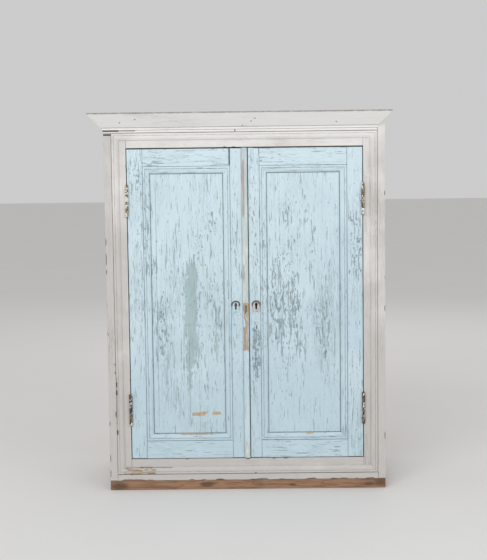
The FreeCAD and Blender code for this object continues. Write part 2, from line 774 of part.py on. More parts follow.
def keeper(level, edge_z, way):
    """A flanged staple behind a frame rail, square inside, that the tower bolt runs into."""
    sign = 1 if way == "+" else -1
    near, far = f"{edge_z} + {sign} * keeper_gap", f"{edge_z} + {sign} * (keeper_gap + keeper_height)"
    high = (near, far) if sign > 0 else (far, near)
    half, half_guide = "keeper_width / 2", "guide_width / 2"
    room = "bolt_radius + keeper_play"
    plate_back = "frame_back_y + bolt_plate_thickness"
    flange = box(f"keeper_{level}_flange", (f"bolt_x - {half}", f"bolt_x + {half}"),
                 ("frame_back_y", plate_back), high)
    bridge = box(f"keeper_{level}_bridge", (f"bolt_x - {half_guide}", f"bolt_x + {half_guide}"),
                 (plate_back, f"bolt_y + {room} + keeper_wall"), high)
    passage = box(f"keeper_{level}_passage", (f"bolt_x - ({room})", f"bolt_x + {room}"),
                  (plate_back, f"bolt_y + {room}"), (f"{high[0]} - 1", f"{high[1]} + 1"))
    screws, sinks, pilots = [], [], []
    for hand in (-1, 1):
        spot = (f"bolt_x + {hand} * ({half} - 2 * screw_head_radius)", plate_back,
                f"{edge_z} + {sign} * (keeper_gap + keeper_height / 2)")
        driven, sink, pilot = screw(f"keeper_{level}_screw_{hand + 1}", spot, "-Y", "bolt_plate_thickness")
        screws.append(driven)
        sinks.append(sink)
        pilots.append(pilot)
    piece = cut(f"keeper_{level}", fuse(f"keeper_{level}_solid", [flange, bridge]), [passage] + sinks)
    return piece, screws, pilots


def check_and_write():
    """Stop on any failed object or unsound shape, then write each sub-part's file."""
    doc.recompute()
    for item in doc.Objects:
        assert "Invalid" not in item.State and "Error" not in item.State, (item.Name, item.State)
    for item in subparts:
        assert not item.Shape.isNull() and item.Shape.isValid(), item.Label
    os.makedirs("parts", exist_ok=True)
    for item in subparts:
        item.Shape.exportStep(f"parts/{item.Label}.step")


def main():
    build_carcass()
    build_base()
    build_cornice()
    build_shelves()
    build_stops()
    hinges = build_hinges()
    top_plate, top_screws, top_pilots = tower_bolt("top", "door_top - bolt_tip_setback", "+")
    foot_plate, foot_screws, foot_pilots = tower_bolt("bottom", "door_bottom + bolt_tip_setback", "-")
    top_keeper, top_keeper_screws, top_keeper_pilots = keeper("top", "opening_top", "+")
    foot_keeper, foot_keeper_screws, foot_keeper_pilots = keeper("bottom", "opening_bottom", "-")
    group("bolt_plates", [top_plate, foot_plate])
    group("bolt_keepers", [top_keeper, foot_keeper])
    build_frame(hinges["frame_left"][2], hinges["frame_right"][2], top_keeper_pilots, foot_keeper_pilots)
    group("frame_screws", hinges["frame_left"][1] + hinges["frame_right"][1] + top_keeper_screws
          + foot_keeper_screws)
    build_door("left", "left_door_low", "left_door_high", "hinge_stile_width", "left_meeting_width",
               hinges["door_left"][2], top_pilots + foot_pilots, "hinge_stile", "meeting_stile")
    group("left_door_screws", hinges["door_left"][1] + top_screws + foot_screws)
    build_bead()
    lock_hole = keyhole("lock_keyhole", "right_keyhole_x", "frame_y - 1", "door_back_y + 1")
    build_door("right", "right_door_low", "right_door_high", "right_meeting_width", "hinge_stile_width",
               [lock_hole], hinges["door_right"][2], "meeting_stile", "hinge_stile")
    group("right_door_screws", hinges["door_right"][1])
    keyhole_plate("left_keyhole_plate", "left_keyhole_x")
    keyhole_plate("right_keyhole_plate", "right_keyhole_x")
    build_lock()
    check_and_write()


main()
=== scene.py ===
"""Looks for a painted pine pantry cabinet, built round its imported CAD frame.

The file is laid out as an add-on. Sizes and colours are properties, each group of pieces has an operator,
and one panel lists the operators. Units are metres, +Z is up and the front faces -Y.
"""

import json
import math
import random

import bmesh
import bpy
from bpy.props import FloatProperty, FloatVectorProperty, IntProperty, PointerProperty
from mathutils import Matrix, Vector, noise


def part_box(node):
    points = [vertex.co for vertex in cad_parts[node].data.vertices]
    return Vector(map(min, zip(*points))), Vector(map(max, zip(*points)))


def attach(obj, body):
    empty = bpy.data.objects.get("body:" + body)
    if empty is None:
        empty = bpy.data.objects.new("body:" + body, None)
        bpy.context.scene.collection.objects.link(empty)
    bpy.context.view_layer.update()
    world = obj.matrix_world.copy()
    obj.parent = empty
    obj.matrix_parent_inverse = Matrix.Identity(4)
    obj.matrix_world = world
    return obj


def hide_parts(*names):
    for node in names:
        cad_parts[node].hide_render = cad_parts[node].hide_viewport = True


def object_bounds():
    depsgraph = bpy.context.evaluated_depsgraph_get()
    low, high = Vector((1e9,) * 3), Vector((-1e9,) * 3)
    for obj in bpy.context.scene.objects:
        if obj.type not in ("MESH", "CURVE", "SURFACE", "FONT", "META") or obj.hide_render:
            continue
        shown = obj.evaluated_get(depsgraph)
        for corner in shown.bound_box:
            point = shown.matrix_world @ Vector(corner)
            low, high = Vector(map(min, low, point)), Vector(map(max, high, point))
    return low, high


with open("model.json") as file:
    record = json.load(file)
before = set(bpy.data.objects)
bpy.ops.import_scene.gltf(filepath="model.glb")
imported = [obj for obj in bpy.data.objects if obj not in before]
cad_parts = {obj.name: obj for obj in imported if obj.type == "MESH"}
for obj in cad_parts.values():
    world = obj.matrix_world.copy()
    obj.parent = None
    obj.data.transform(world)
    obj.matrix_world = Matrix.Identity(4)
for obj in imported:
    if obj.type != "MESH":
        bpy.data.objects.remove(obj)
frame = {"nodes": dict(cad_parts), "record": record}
CAD_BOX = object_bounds()

bl_info = {
    "name": "Pantry Cabinet",
    "version": (1, 0, 0),
    "blender": (4, 5, 0),
    "location": "View3D > Sidebar > Cabinet",
    "description": "Worn paint, old pine and hardware for a pantry cabinet",
    "category": "Object",
}

BODY_OF = {
    node: body
    for body, members in frame["record"]["behaviour"]["bodies"].items()
    for node in members
}
X, Y, Z = 0, 1, 2
SMOOTH_BELOW = math.radians(38)
FLAT_BELOW = math.radians(1.0)
SAME_POINT = 1e-6

# A Mix node's sockets when it mixes colours
MIX_FACTOR, MIX_FIRST, MIX_SECOND, MIX_RESULT = 0, 6, 7, 2


# ---- sizes and colours --------------------------------------------------------------------------

def length(name, description, default):
    return FloatProperty(name=name, description=description, default=default, min=0.0,
                         precision=5, subtype="DISTANCE", unit="LENGTH")


def colour(name, description, default):
    return FloatVectorProperty(name=name, description=description, default=default, size=3,
                               min=0.0, max=1.0, subtype="COLOR")


class PANTRY_PG_boards(bpy.types.PropertyGroup):
    """Sizes of the wear on the boards."""

    arris: length("Arris", "Radius of an edge that was only rubbed", 0.0007)
    chip: length("Chip", "Depth of the deepest chance chip in an edge", 0.0020)
    chip_run: length("Chip run", "Usual length of a chip along the edge", 0.012)
    station: length("Station", "Spacing of the cross sections along a board", 0.0065)
    rib: length("Rib", "Spacing of the points across a board", 0.016)
    near_edge: length("Near edge", "Width of the strip beside an edge that wears with it", 0.0028)
    waviness: length("Waviness", "Depth of the hollows that hand planing left", 0.00022)
    # Darkening at a board's ends, where it meets other parts: painted shade with soiling.
    end_dirt_and_shade: length("End dirt", "How far dirt reaches from a board's end", 0.0017)


class PANTRY_PG_mouldings(bpy.types.PropertyGroup):
    """Sizes of the planted mouldings' section, and of the nicks in them."""

    bead: length("Bead", "Where the bead ends and the cove starts", 0.007)
    quirk: length("Quirk", "Width of the groove outside the bead", 0.0015)
    quirk_depth: length("Quirk depth", "Depth of the groove outside the bead", 0.003)
    step: length("Step", "Fall from the bead to the cove", 0.0012)
    lip: length("Lip", "Thickness of the cove's inner edge", 0.0015)
    height: length("Height", "Height of the bead's two edges", 0.008)
    nick: length("Nick", "Depth of the deepest nick", 0.0011)
    station: length("Station", "Spacing of the cross sections", 0.004)


class PANTRY_PG_cornice(bpy.types.PropertyGroup):
    """Sizes of the cornice's section, which the frame's boxes don't give."""

    lip: length("Lip", "Upright edge at the top of the fascia", 0.0025)
    bed_height: length("Bed height", "Height of each bed step", 0.007)
    bed_depth: length("Bed depth", "How far each bed step stands out", 0.0018)
    foot: length("Foot", "Thickness behind the lower bed step", 0.0014)
    nail: length("Nail", "Radius of a nail head", 0.0019)


class PANTRY_PG_colours(bpy.types.PropertyGroup):
    """Colours of the paints, the wood and the metals."""

    cream: colour("Cream", "Off-white paint of the carcass", (0.585, 0.560, 0.540))
    cream_pale: colour("Pale cream", "Where the off-white paint is cleanest", (0.800, 0.788, 0.772))
    cream_clean: colour("Clean cream", "Off-white paint of the cornice", (0.900, 0.888, 0.872))
    cream_stain: colour("Cream stain", "Where the off-white paint is dirty", (0.430, 0.385, 0.345))
    # Also the colour of painted shade in the hollows and at the joints of the off-white parts.
    cream_dirt_and_shade: colour("Dirty line", "Dirt along the edges of the off-white parts", (0.215, 0.185, 0.165))
    blue: colour("Blue", "Duck-egg paint of the doors", (0.535, 0.680, 0.755))
    blue_pale: colour("Pale blue", "Where the duck-egg paint is thickest", (0.650, 0.792, 0.860))
    undercoat: colour("Undercoat", "Grey-green paint under the duck-egg", (0.390, 0.520, 0.530))
    mark: colour("Mark", "Short dark marks in the duck-egg paint", (0.210, 0.300, 0.325))
    # Also darkens hollows, board ends, panel edges and keyholes, as painted shade with soiling.
    crack: colour("Crack", "Dirt in the cracks of the paint", (0.105, 0.130, 0.140))
    # Near black: painted shade in gaps, under ledges and in keyholes, and the colour of dark joints and open
    # cracks.
    shadow: colour("Shadow", "Open gaps and the oldest dirt", (0.020, 0.018, 0.017))
    bare: colour("Bare wood", "Pine where the paint is gone", (0.560, 0.410, 0.260))
    bead_wood: colour("Bead wood", "Brown wood and old paint of the bead", (0.400, 0.325, 0.275))
    base: colour("Base", "Unpainted wood of the base", (0.365, 0.215, 0.130))
    base_dark: colour("Dark base", "Grain and knots of the base", (0.120, 0.070, 0.045))
    pine: colour("Pine", "Unpainted pine inside", (0.500, 0.325, 0.180))
    pine_dark: colour("Dark pine", "Grain of the pine inside", (0.300, 0.170, 0.085))
    dust: colour("Dust", "Dust on the unpainted pine", (0.620, 0.550, 0.470))
    brass: colour("Brass", "Worn brass of the hinges and keyhole plates", (0.340, 0.245, 0.130))
    bronze: colour("Bronze", "Tarnish on the brass", (0.085, 0.060, 0.038))
    iron: colour("Iron", "Bolts, lock and screws", (0.070, 0.064, 0.060))
    rust: colour("Rust", "Rust on the iron", (0.190, 0.085, 0.040))


class PANTRY_PG_stage(bpy.types.PropertyGroup):
    """Floor, light and camera."""

    floor: colour("Floor", "Plain pale floor", (0.800, 0.790, 0.775))
    sky: colour("Surround", "Light from all round", (0.860, 0.860, 0.860))
    sky_strength: FloatProperty(name="Surround strength", description="How bright the surround is",
                                default=0.70, min=0.0)
    key: FloatProperty(name="Key light", description="Power of the main light", default=76.0,
                       min=0.0, subtype="POWER", unit="POWER")
    fill: FloatProperty(name="Fill light", description="Power of the second light", default=28.0,
                        min=0.0, subtype="POWER", unit="POWER")
    lens: FloatProperty(name="Lens", description="Focal length on a 36 mm wide frame", default=91.8,
                        min=1.0, unit="CAMERA")
    camera: FloatVectorProperty(name="Camera", description="Where the camera stands",
                                default=(0.0328, -3.6709, 0.9235), size=3, subtype="TRANSLATION",
                                unit="LENGTH")
    tilt: FloatVectorProperty(name="Tilt", description="The camera's pitch, roll and yaw", size=3,
                              default=(math.radians(84.78), math.radians(-0.69), math.radians(0.441)),
                              subtype="EULER", unit="ROTATION")


class PANTRY_PG_chance(bpy.types.PropertyGroup):
    """What makes the chance wear the same each time."""

    seed: IntProperty(name="Seed", description="Start of the random wear", default=7, min=0)


# ---- shader nodes -------------------------------------------------------------------------------

LINE_SOFTNESS = 0.0004


class Value:
    """A number that varies over a surface. Python's operators on it add Math nodes."""

    def __init__(self, finish, socket):
        self.finish = finish
        self.socket = socket

    def maths(self, operation, first, second):
        return self.finish.node("ShaderNodeMath", {"operation": operation}, {0: first, 1: second})

    def __add__(self, other):
        return self.maths("ADD", self, other)

    def __sub__(self, other):
        return self.maths("SUBTRACT", self, other)

    def __mul__(self, other):
        return self.maths("MULTIPLY", self, other)

    def __truediv__(self, other):
        return self.maths("DIVIDE", self, other)

    def __pow__(self, other):
        return self.maths("POWER", self, other)

    def __rsub__(self, other):
        return self.maths("SUBTRACT", other, self)

    def __abs__(self):
        return self.maths("ABSOLUTE", self, 0.0)

    def larger(self, other):
        return self.maths("MAXIMUM", self, other)

    def smaller(self, other):
        return self.maths("MINIMUM", self, other)

    __radd__ = __add__


class Finish:
    """A material while it is being made."""

    def __init__(self, name):
        self.material = bpy.data.materials.new(name)
        self.material.use_nodes = True
        self.tree = self.material.node_tree
        self.tree.nodes.clear()
        self.place = self.node("ShaderNodeTexCoord", {}, {}, "Object")

    def node(self, kind, settings, inputs, output=0):
        """Add a node: its settings first, then its sockets' values or links. Returns one output."""
        made = self.tree.nodes.new(kind)
        for name, setting in settings.items():
            setattr(made, name, setting)
        for key, given in inputs.items():
            socket = made.inputs[key]
            if isinstance(given, Value):
                self.tree.links.new(given.socket, socket)
            else:
                socket.default_value = given
        return Value(self, made.outputs[output])

    def stretched(self, grain, stretch, shift=0.0):
        """Object coordinates squeezed along the grain, so that a pattern runs with it."""
        scale = [1.0, 1.0, 1.0]
        scale[grain] = 1.0 / stretch
        return self.node("ShaderNodeMapping", {}, {"Vector": self.place, "Scale": scale,
                                                   "Location": (shift, shift, shift)})

    def along(self, axis):
        """One of the object coordinates, as a number."""
        return self.node("ShaderNodeSeparateXYZ", {}, {0: self.place}, axis)

    def noise(self, vector, scale, detail=2.0, roughness=0.5, distortion=0.0):
        return self.node("ShaderNodeTexNoise", {}, {
            "Vector": vector, "Scale": scale, "Detail": detail, "Roughness": roughness,
            "Distortion": distortion}, "Fac")

    def attribute(self, name):
        return self.node("ShaderNodeAttribute", {"attribute_name": name}, {}, "Fac")

    def ramp(self, given, low, high):
        """0 below low, 1 above high, and smooth between them."""
        return self.node("ShaderNodeMapRange", {"interpolation_type": "SMOOTHSTEP"},
                         {"Value": given, "From Min": low, "From Max": high})

    def mix(self, first, second, factor):
        """Mix two colours."""
        return self.node("ShaderNodeMix", {"data_type": "RGBA"}, {
            MIX_FACTOR: factor, MIX_FIRST: opaque(first), MIX_SECOND: opaque(second)}, MIX_RESULT)

    def band(self, given, low, high, soft):
        """1 between low and high, fading over soft at both ends."""
        return self.ramp(given, low - soft, low + soft) * (1 - self.ramp(given, high - soft, high + soft))

    def areas(self, listed, wander, drawn_out=4.0):
        """A mask over some rectangles of the front, with edges that wander, more so up and down."""
        east, up = self.along(X) + wander, self.along(Z) + wander * drawn_out
        mask = None
        for (left, right, bottom, top), soft, strength in listed:
            spot = self.band(east, left, right, soft) * self.band(up, bottom, top, soft * drawn_out)
            mask = spot * strength if mask is None else mask.larger(spot * strength)
        return mask

    def lines(self, listed, wander):
        """A mask over narrow rectangles of the front, with hardly any softness."""
        return self.areas([(where, LINE_SOFTNESS, strength) for where, strength in listed], wander, 1.0)

    def surface(self, base, roughness, height, depth, metallic=0.0, specular=0.5):
        """The shader itself, with a bump made from height, and the finished material."""
        normal = self.node("ShaderNodeBump", {}, {"Height": height, "Strength": 1.0, "Distance": depth},
                           "Normal")
        shader = self.node("ShaderNodeBsdfPrincipled", {}, {
            "Base Color": base, "Roughness": roughness, "Metallic": metallic, "Normal": normal,
            "Specular IOR Level": specular})
        end = self.tree.nodes.new("ShaderNodeOutputMaterial")
        self.tree.links.new(shader.socket, end.inputs["Surface"])
        return self.material


def opaque(given):
    """A colour as a socket takes it. Links pass through."""
    return given if isinstance(given, Value) else (*given, 1.0)


# ---- finishes -----------------------------------------------------------------------------------

def paint_cracks(f, grain, patchiness):
    """Fine cracks that open along the grain, in patches. Returns the mask of their lines."""
    coarse = f.noise(f.stretched(grain, 14), 78, 3, 0.62, 0.35)
    fine = f.noise(f.stretched(grain, 11, 3.1), 190, 2, 0.6, 0.3)
    patch = f.ramp(f.noise(f.stretched(grain, 3, 7.7), 11, 3), patchiness, patchiness + 0.22)
    lines = 1 - f.ramp(abs(coarse - 0.5), 0.004, 0.024)
    hairs = 1 - f.ramp(abs(fine - 0.47), 0.006, 0.034)
    return (lines * 0.9).larger(hairs * 0.7) * (patch * 0.8 + 0.2), patch


def cream_paint(name, grain, clean=0.0, dark=(), damage=None):
    """Old off-white paint: brushed along the grain, darkened in its hollows with painted shade and soiling,
    and chipped to the wood.

    clean is how much less of it is stained. The paint is paler towards the top and darker towards the floor,
    a painted light that falls from above. damage is where the paint is missing, and where pale flakes of it
    are left.
    """
    c = bpy.context.scene.pantry_colours
    f = Finish(name)
    wear, grime = f.attribute("wear"), f.attribute("grime")
    brush = f.noise(f.stretched(grain, 18), 200, 4, 0.6)
    cloud = f.noise(f.place, 6.5, 4, 0.55)
    cracks, patch = paint_cracks(f, grain, 0.50)
    ragged = f.noise(f.stretched(grain, 2.5, 5.2), 160, 4, 0.7)
    share = min(max(clean, 0.0), 1.0)
    pale = [first + (second - first) * share for first, second in zip(c.cream_pale, c.cream_clean)]
    # Paler towards the top and darker towards the floor: painted light that falls from above.
    painted_top_light = f.along(Z) * 0.42 - 0.25
    paint = f.mix(c.cream, pale, f.ramp(cloud + painted_top_light + clean * 0.4, 0.34, 0.80))
    blotch = f.noise(f.stretched(grain, 5, 1.4), 34, 5, 0.65)
    stained = f.ramp(blotch, 0.57, 0.80) * 0.38 + f.ramp(brush, 0.50, 0.85) * 0.34
    paint = f.mix(paint, c.cream_stain, stained * (1 - clean * 0.7))
    paint = f.mix(paint, c.cream_dirt_and_shade, cracks * (0.38 - clean * 0.22))
    # Darker in hollows, cracks and at board ends: painted shade there, with soiling.
    paint = f.mix(paint, c.cream_dirt_and_shade, f.ramp(grime + (ragged - 0.5) * 0.8, 0.45, 0.9) * 0.85)
    edge = wear + (ragged - 0.5) * 1.1
    lost = f.ramp(edge, 0.62, 0.74)
    if damage:
        missing, flaked = damage
        gone = f.areas(missing, (ragged - 0.5) * 0.012)
        torn = f.noise(f.stretched(grain, 4, 2.2), 120, 4, 0.7) - 0.5
        lost = lost.larger(f.ramp(gone + torn * 1.1, 0.50, 0.62))
    wood = f.mix(c.bare, c.base_dark, f.ramp(brush, 0.36, 0.66) * 0.75)
    wood = f.mix(wood, c.cream_dirt_and_shade, f.ramp(wear, 0.45, 0.80) * 0.85)
    skin = f.mix(f.mix(paint, c.cream_dirt_and_shade, f.band(edge, 0.52, 0.62, 0.05) * 0.5), wood, lost)
    if damage:
        flakes = f.areas(flaked, (ragged - 0.5) * 0.01) + torn
        skin = f.mix(skin, c.cream_pale, f.ramp(flakes, 0.55, 0.65))
    # Near-black lines: painted shade under ledges and along edges, and open cracks and joints.
    if dark:
        skin = f.mix(skin, c.shadow, f.lines(dark, (ragged - 0.5) * 0.0016) * 0.9)
    height = brush * 0.35 - cracks * 0.8 - lost * 1.6 + patch * 0.1
    return f.surface(skin, 0.56 + brush * 0.16 + lost * 0.12, height, 0.00045, specular=0.32)


def blue_paint(name, grain, worn=(), bare=(), crazed=(), dark=(), border=None):
    """Duck-egg paint over a grey-green undercoat: marked along the grain and worn through in places.

    worn areas show the undercoat and bare ones the wood, and crazed areas have more marks. dark lines are
    near black: painted shade in open gaps and keyholes, and dark joints. The last argument is the rectangle
    that shows inside the panel's mouldings: painted shade and soiling lie along its edges.
    """
    c = bpy.context.scene.pantry_colours
    f = Finish(name)
    wear, grime = f.attribute("wear"), f.attribute("grime")
    brush = f.noise(f.stretched(grain, 24), 135, 4, 0.6)
    cloud = f.noise(f.place, 5.5, 4, 0.55)
    speck = f.noise(f.stretched(grain, 3.0, 4.0), 225, 5, 0.66)
    drawn = f.noise(f.stretched(grain, 11, 6.1), 240, 3, 0.62)
    # Paler towards the top: painted light that falls from above.
    level = f.along(Z) * 0.30 - 0.17
    cracks, patch = paint_cracks(f, grain, 0.46)
    paint = f.mix(c.blue, c.blue_pale, f.ramp(cloud * 0.6 + brush * 0.4 + level, 0.34, 0.64))
    paint = f.mix(paint, c.undercoat, f.ramp(brush, 0.50, 0.78) * 0.45)
    density = f.areas(crazed, (cloud - 0.5) * 0.05) if crazed else 0.0
    marks = f.ramp(speck + density * 0.125, 0.655, 0.690)
    marks = marks.larger(f.ramp(drawn + density * 0.07 + (cloud - 0.5) * 0.14, 0.610, 0.660) * 0.75)
    tone = f.mix(c.mark, c.crack, f.ramp(drawn, 0.44, 0.62) * (0.35 + density * 0.4))
    paint = f.mix(paint, tone, marks * 0.78)
    paint = f.mix(paint, c.crack, cracks * 0.42)
    edge = wear + (speck - 0.5) * 1.1
    through = f.ramp(edge, 0.60, 0.72)
    if worn:
        torn = f.noise(f.stretched(grain, 5, 9.0), 95, 5, 0.72) - 0.5
        gone = f.areas(worn, torn * 0.040) + torn * 1.0 + (speck - 0.5) * 0.7
        through = through.larger(f.ramp(gone, 0.50, 0.60))
    under = f.mix(c.undercoat, c.blue, f.ramp(cloud * 0.5 + brush * 0.5, 0.42, 0.70) * 0.35)
    skin = f.mix(paint, f.mix(under, c.mark, marks * 0.35), through)
    # Darker in the mouldings' hollows, in cracks and at board ends: painted shade there, with soiling.
    skin = f.mix(skin, c.crack, f.ramp(grime + (speck - 0.5) * 0.8, 0.42, 0.9) * 0.85)
    # Painted shade and soiling along the panel's edges, next to its mouldings.
    if border:
        left, right, bottom, top = border
        east, up = f.along(X), f.along(Z)
        away = (east - left).smaller(right - east).smaller((up - bottom).smaller(top - up))
        skin = f.mix(skin, c.crack, (1 - f.ramp(away + (speck - 0.5) * 0.002, 0.0006, 0.0022)) * 0.88)
    lost = f.ramp(wear + (speck - 0.5) * 1.0, 0.90, 1.0)
    if bare:
        frayed = f.noise(f.place, 150, 4, 0.7) - 0.5
        lost = lost.larger(f.ramp(f.areas(bare, frayed * 0.020, 0.35) + frayed * 1.3, 0.52, 0.66))
    wood = f.mix(c.bare, c.base_dark, f.ramp(brush, 0.50, 0.85) * 0.4)
    skin = f.mix(skin, wood, lost)
    # Near-black lines: painted shade in gaps and keyholes, and dark joints.
    if dark:
        skin = f.mix(skin, c.shadow, f.lines(dark, (speck - 0.5) * 0.0016) * 0.92)
    height = brush * 0.35 - cracks * 0.6 - marks * 0.5 - through * 0.5 - lost * 1.0 + patch * 0.15
    return f.surface(skin, 0.50 + brush * 0.18 + through * 0.10, height, 0.00045, specular=0.35)


def bead_finish(name):
    """The meeting bead: pale grey paint at the top, a brown length at the middle and blue lower down."""
    c = bpy.context.scene.pantry_colours
    low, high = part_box("meeting_bead")
    tall = high.z - low.z
    f = Finish(name)
    brush = f.noise(f.stretched(Z, 20), 220, 4, 0.6)
    flake = f.noise(f.stretched(Z, 5, 1.7), 85, 5, 0.7)
    up = (f.along(Z) - low.z) / tall + (flake - 0.5) * 0.06
    over = (f.along(X) - low.x) / (high.x - low.x) + (flake - 0.5) * 0.35
    cracks, patch = paint_cracks(f, Z, 0.42)
    paint = f.mix(c.blue, c.blue_pale, flake)
    old = f.mix(c.cream_pale, c.undercoat, f.ramp(flake, 0.28, 0.52) * 0.60)
    worn = f.band(up, 0.46, 1.10, 0.05).larger(f.band(up, -0.10, 0.055, 0.03))
    skin = f.mix(paint, old, f.ramp(worn + (flake - 0.5) * 1.2, 0.40, 0.75) * 0.85)
    brown = f.band(up, 0.780, 0.965, 0.03) * f.band(over, 0.10, 0.50, 0.10) * 0.95
    brown = brown.larger(f.band(up, 0.560, 0.640, 0.03) * f.band(over, 0.05, 0.38, 0.10) * 0.8)
    middle = f.band(up, 0.343, 0.508, 0.010) * (f.band(over, 0.10, 0.90, 0.15) * 0.25 + 0.64)
    skin = f.mix(skin, f.mix(c.bead_wood, c.bare, f.ramp(brush, 0.4, 0.7) * 0.6),
                 f.ramp(brown + (flake - 0.5) * 1.5, 0.40, 0.72) * 0.80)
    skin = f.mix(skin, f.mix(c.bare, c.bead_wood, f.ramp(brush, 0.4, 0.6)),
                 f.ramp(middle + (flake - 0.5) * 2.2, 0.55, 0.75))
    deep = f.band(up, 0.468, 0.500, 0.012) * f.band(over, 0.25, 0.75, 0.15)
    skin = f.mix(skin, c.base_dark, f.ramp(deep + (flake - 0.5) * 0.9, 0.45, 0.75) * 0.75)
    skin = f.mix(skin, c.mark, cracks * 0.45)
    # Darker along the bead's long edges: painted shade beside it, with soiling.
    skin = f.mix(skin, c.crack, f.ramp(f.attribute("grime") + (flake - 0.5) * 0.6, 0.4, 0.9) * 0.8)
    height = brush * 0.5 - cracks * 0.9 + patch * 0.1 + flake * 0.6
    return f.surface(skin, 0.55 + brush * 0.2, height, 0.0005, specular=0.3)


def pine(name, grain, light, dark, knots=(), tired=0.0):
    """Unpainted softwood: growth lines along the grain, knots, dust and handling marks.

    knots are (x, z) places with their sizes, and tired is how much more of the wood has darkened.
    """
    c = bpy.context.scene.pantry_colours
    f = Finish(name)
    rings = f.noise(f.stretched(grain, 16), 26, 4, 0.55, 0.9)
    lines = abs(f.node("ShaderNodeMath", {"operation": "FRACT"}, {0: rings * 9.0}) - 0.5) * 2.0
    fibre = f.noise(f.stretched(grain, 30), 420, 4, 0.65)
    cloud = f.noise(f.stretched(grain, 2.0), 9, 4, 0.6)
    wood = f.mix(light, dark, f.ramp(lines, 0.25, 1.0) * 0.55)
    wood = f.mix(wood, dark, f.ramp(fibre, 0.45, 0.80) * 0.55)
    wood = f.mix(wood, dark, f.ramp(cloud, 0.48, 0.78) * (0.35 + tired))
    wood = f.mix(wood, c.dust, f.ramp(f.noise(f.place, 31, 5, 0.7), 0.56, 0.80) * 0.22)
    for (east, up), size in knots:
        along_grain, off = (f.along(X) - east) * 0.4, f.along(Z) - up
        away = (along_grain ** 2.0 + off ** 2.0) ** 0.5 + (cloud + rings - 1.0) * size
        wood = f.mix(wood, dark, (1 - f.ramp(away, size * 0.2, size * 0.9)) * 0.85)
    tone = f.noise(f.stretched(grain, 60, 2.5), 6.5, 1)
    wood = f.mix(wood, dark, f.ramp(tone, 0.42, 0.62) * (0.15 + tired))
    # Darker where the edges are worn, and at board ends and in cracks, where this is painted shade with
    # soiling.
    wood = f.mix(wood, dark, f.ramp(f.attribute("wear").larger(f.attribute("grime")), 0.25, 0.9) * 0.7)
    height = lines * 0.35 + fibre * 0.65
    return f.surface(wood, 0.60 + fibre * 0.2, height, 0.00030, specular=0.25)


def painted_metal(name, paint, amount, metal, tarnish, low_less=0.0, arch=None):
    """Brass under flaking paint. amount says how much of the paint is left, low_less how much less of it
    there is on the lower hinges. arch is a keyhole plate's box: dark tarnish and soiling lie along its arched
    rim, and painted shade darkens its keyhole.
    """
    c = bpy.context.scene.pantry_colours
    f = Finish(name)
    flake = f.noise(f.place, 190, 4, 0.65)
    blotch = f.noise(f.place, 62, 3, 0.6)
    there = amount - (1 - f.ramp(f.along(Z), 0.45, 0.55)) * low_less
    left = f.ramp(flake * 0.6 + blotch * 0.6 + there, 1.02, 1.10)
    base = f.mix(f.mix(metal, tarnish, f.ramp(blotch, 0.36, 0.52)), paint, left)
    height = left * 1.2 + flake * 0.4
    if arch:
        low, high = arch
        half = (high.x - low.x) / 2
        east, up = f.along(X) - (low.x + half), f.along(Z) - (high.z - half)
        away = (east ** 2.0 + (up.larger(0.0)) ** 2.0) ** 0.5 + (flake - 0.5) * 0.003
        rim = f.band(away, half - 0.0040, half + 0.002, 0.0006) * (f.ramp(up, -0.008, 0.002) * 0.7 + 0.3)
        base = f.mix(base, tarnish, rim * 0.95)
        # Painted shade in the keyhole: the plate is darkened where its keyhole is.
        sunk = abs(east) + abs(f.along(Z) - (low.z + 0.019)) * 0.42 + (flake - 0.5) * 0.003
        base = f.mix(base, c.crack, (1 - f.ramp(sunk, 0.0034, 0.0056)) * 0.80)
    return f.surface(base, 0.42 + left * 0.2 + blotch * 0.1, height, 0.00025,
                     metallic=(1 - left) * 0.75, specular=0.4)


def old_iron(name):
    """Dark iron with rust in patches."""
    c = bpy.context.scene.pantry_colours
    f = Finish(name)
    pits = f.noise(f.place, 480, 4, 0.6)
    blotch = f.noise(f.place, 55, 4, 0.65)
    rust = f.ramp(blotch + (pits - 0.5) * 0.4, 0.52, 0.68)
    return f.surface(f.mix(c.iron, c.rust, rust), 0.42 + rust * 0.38, pits - rust * 0.5, 0.00020,
                     metallic=0.85 - rust * 0.7)


def pale_floor():
    """A plain pale floor with the faintest mottle."""
    stage = bpy.context.scene.pantry_stage
    f = Finish("pale_floor")
    mottle = f.noise(f.place, 2.2, 4)
    base = f.mix(stage.floor, [tone * 0.96 for tone in stage.floor], mottle)
    return f.surface(base, 0.72 + mottle * 0.1, mottle, 0.0004, specular=0.2)


FINISHES = {}


def finish(name, maker, *given, **named):
    """A material by its name, made the first time that it is asked for."""
    if name not in FINISHES:
        FINISHES[name] = maker(name, *given, **named)
    return FINISHES[name]


# ---- meshes and pieces --------------------------------------------------------------------------

SIDE_NAMES = {X: ("bottom", "back", "top", "front"),
              Y: ("left", "top", "right", "bottom"),
              Z: ("front", "right", "back", "left")}
END_NAMES = {X: ("left", "right"), Y: ("front", "back"), Z: ("bottom", "top")}
ARC_STEPS = 3
BARE_AFTER = 0.0013
WIDEST_WEAR = 0.42
THICK_BOARD = 0.02


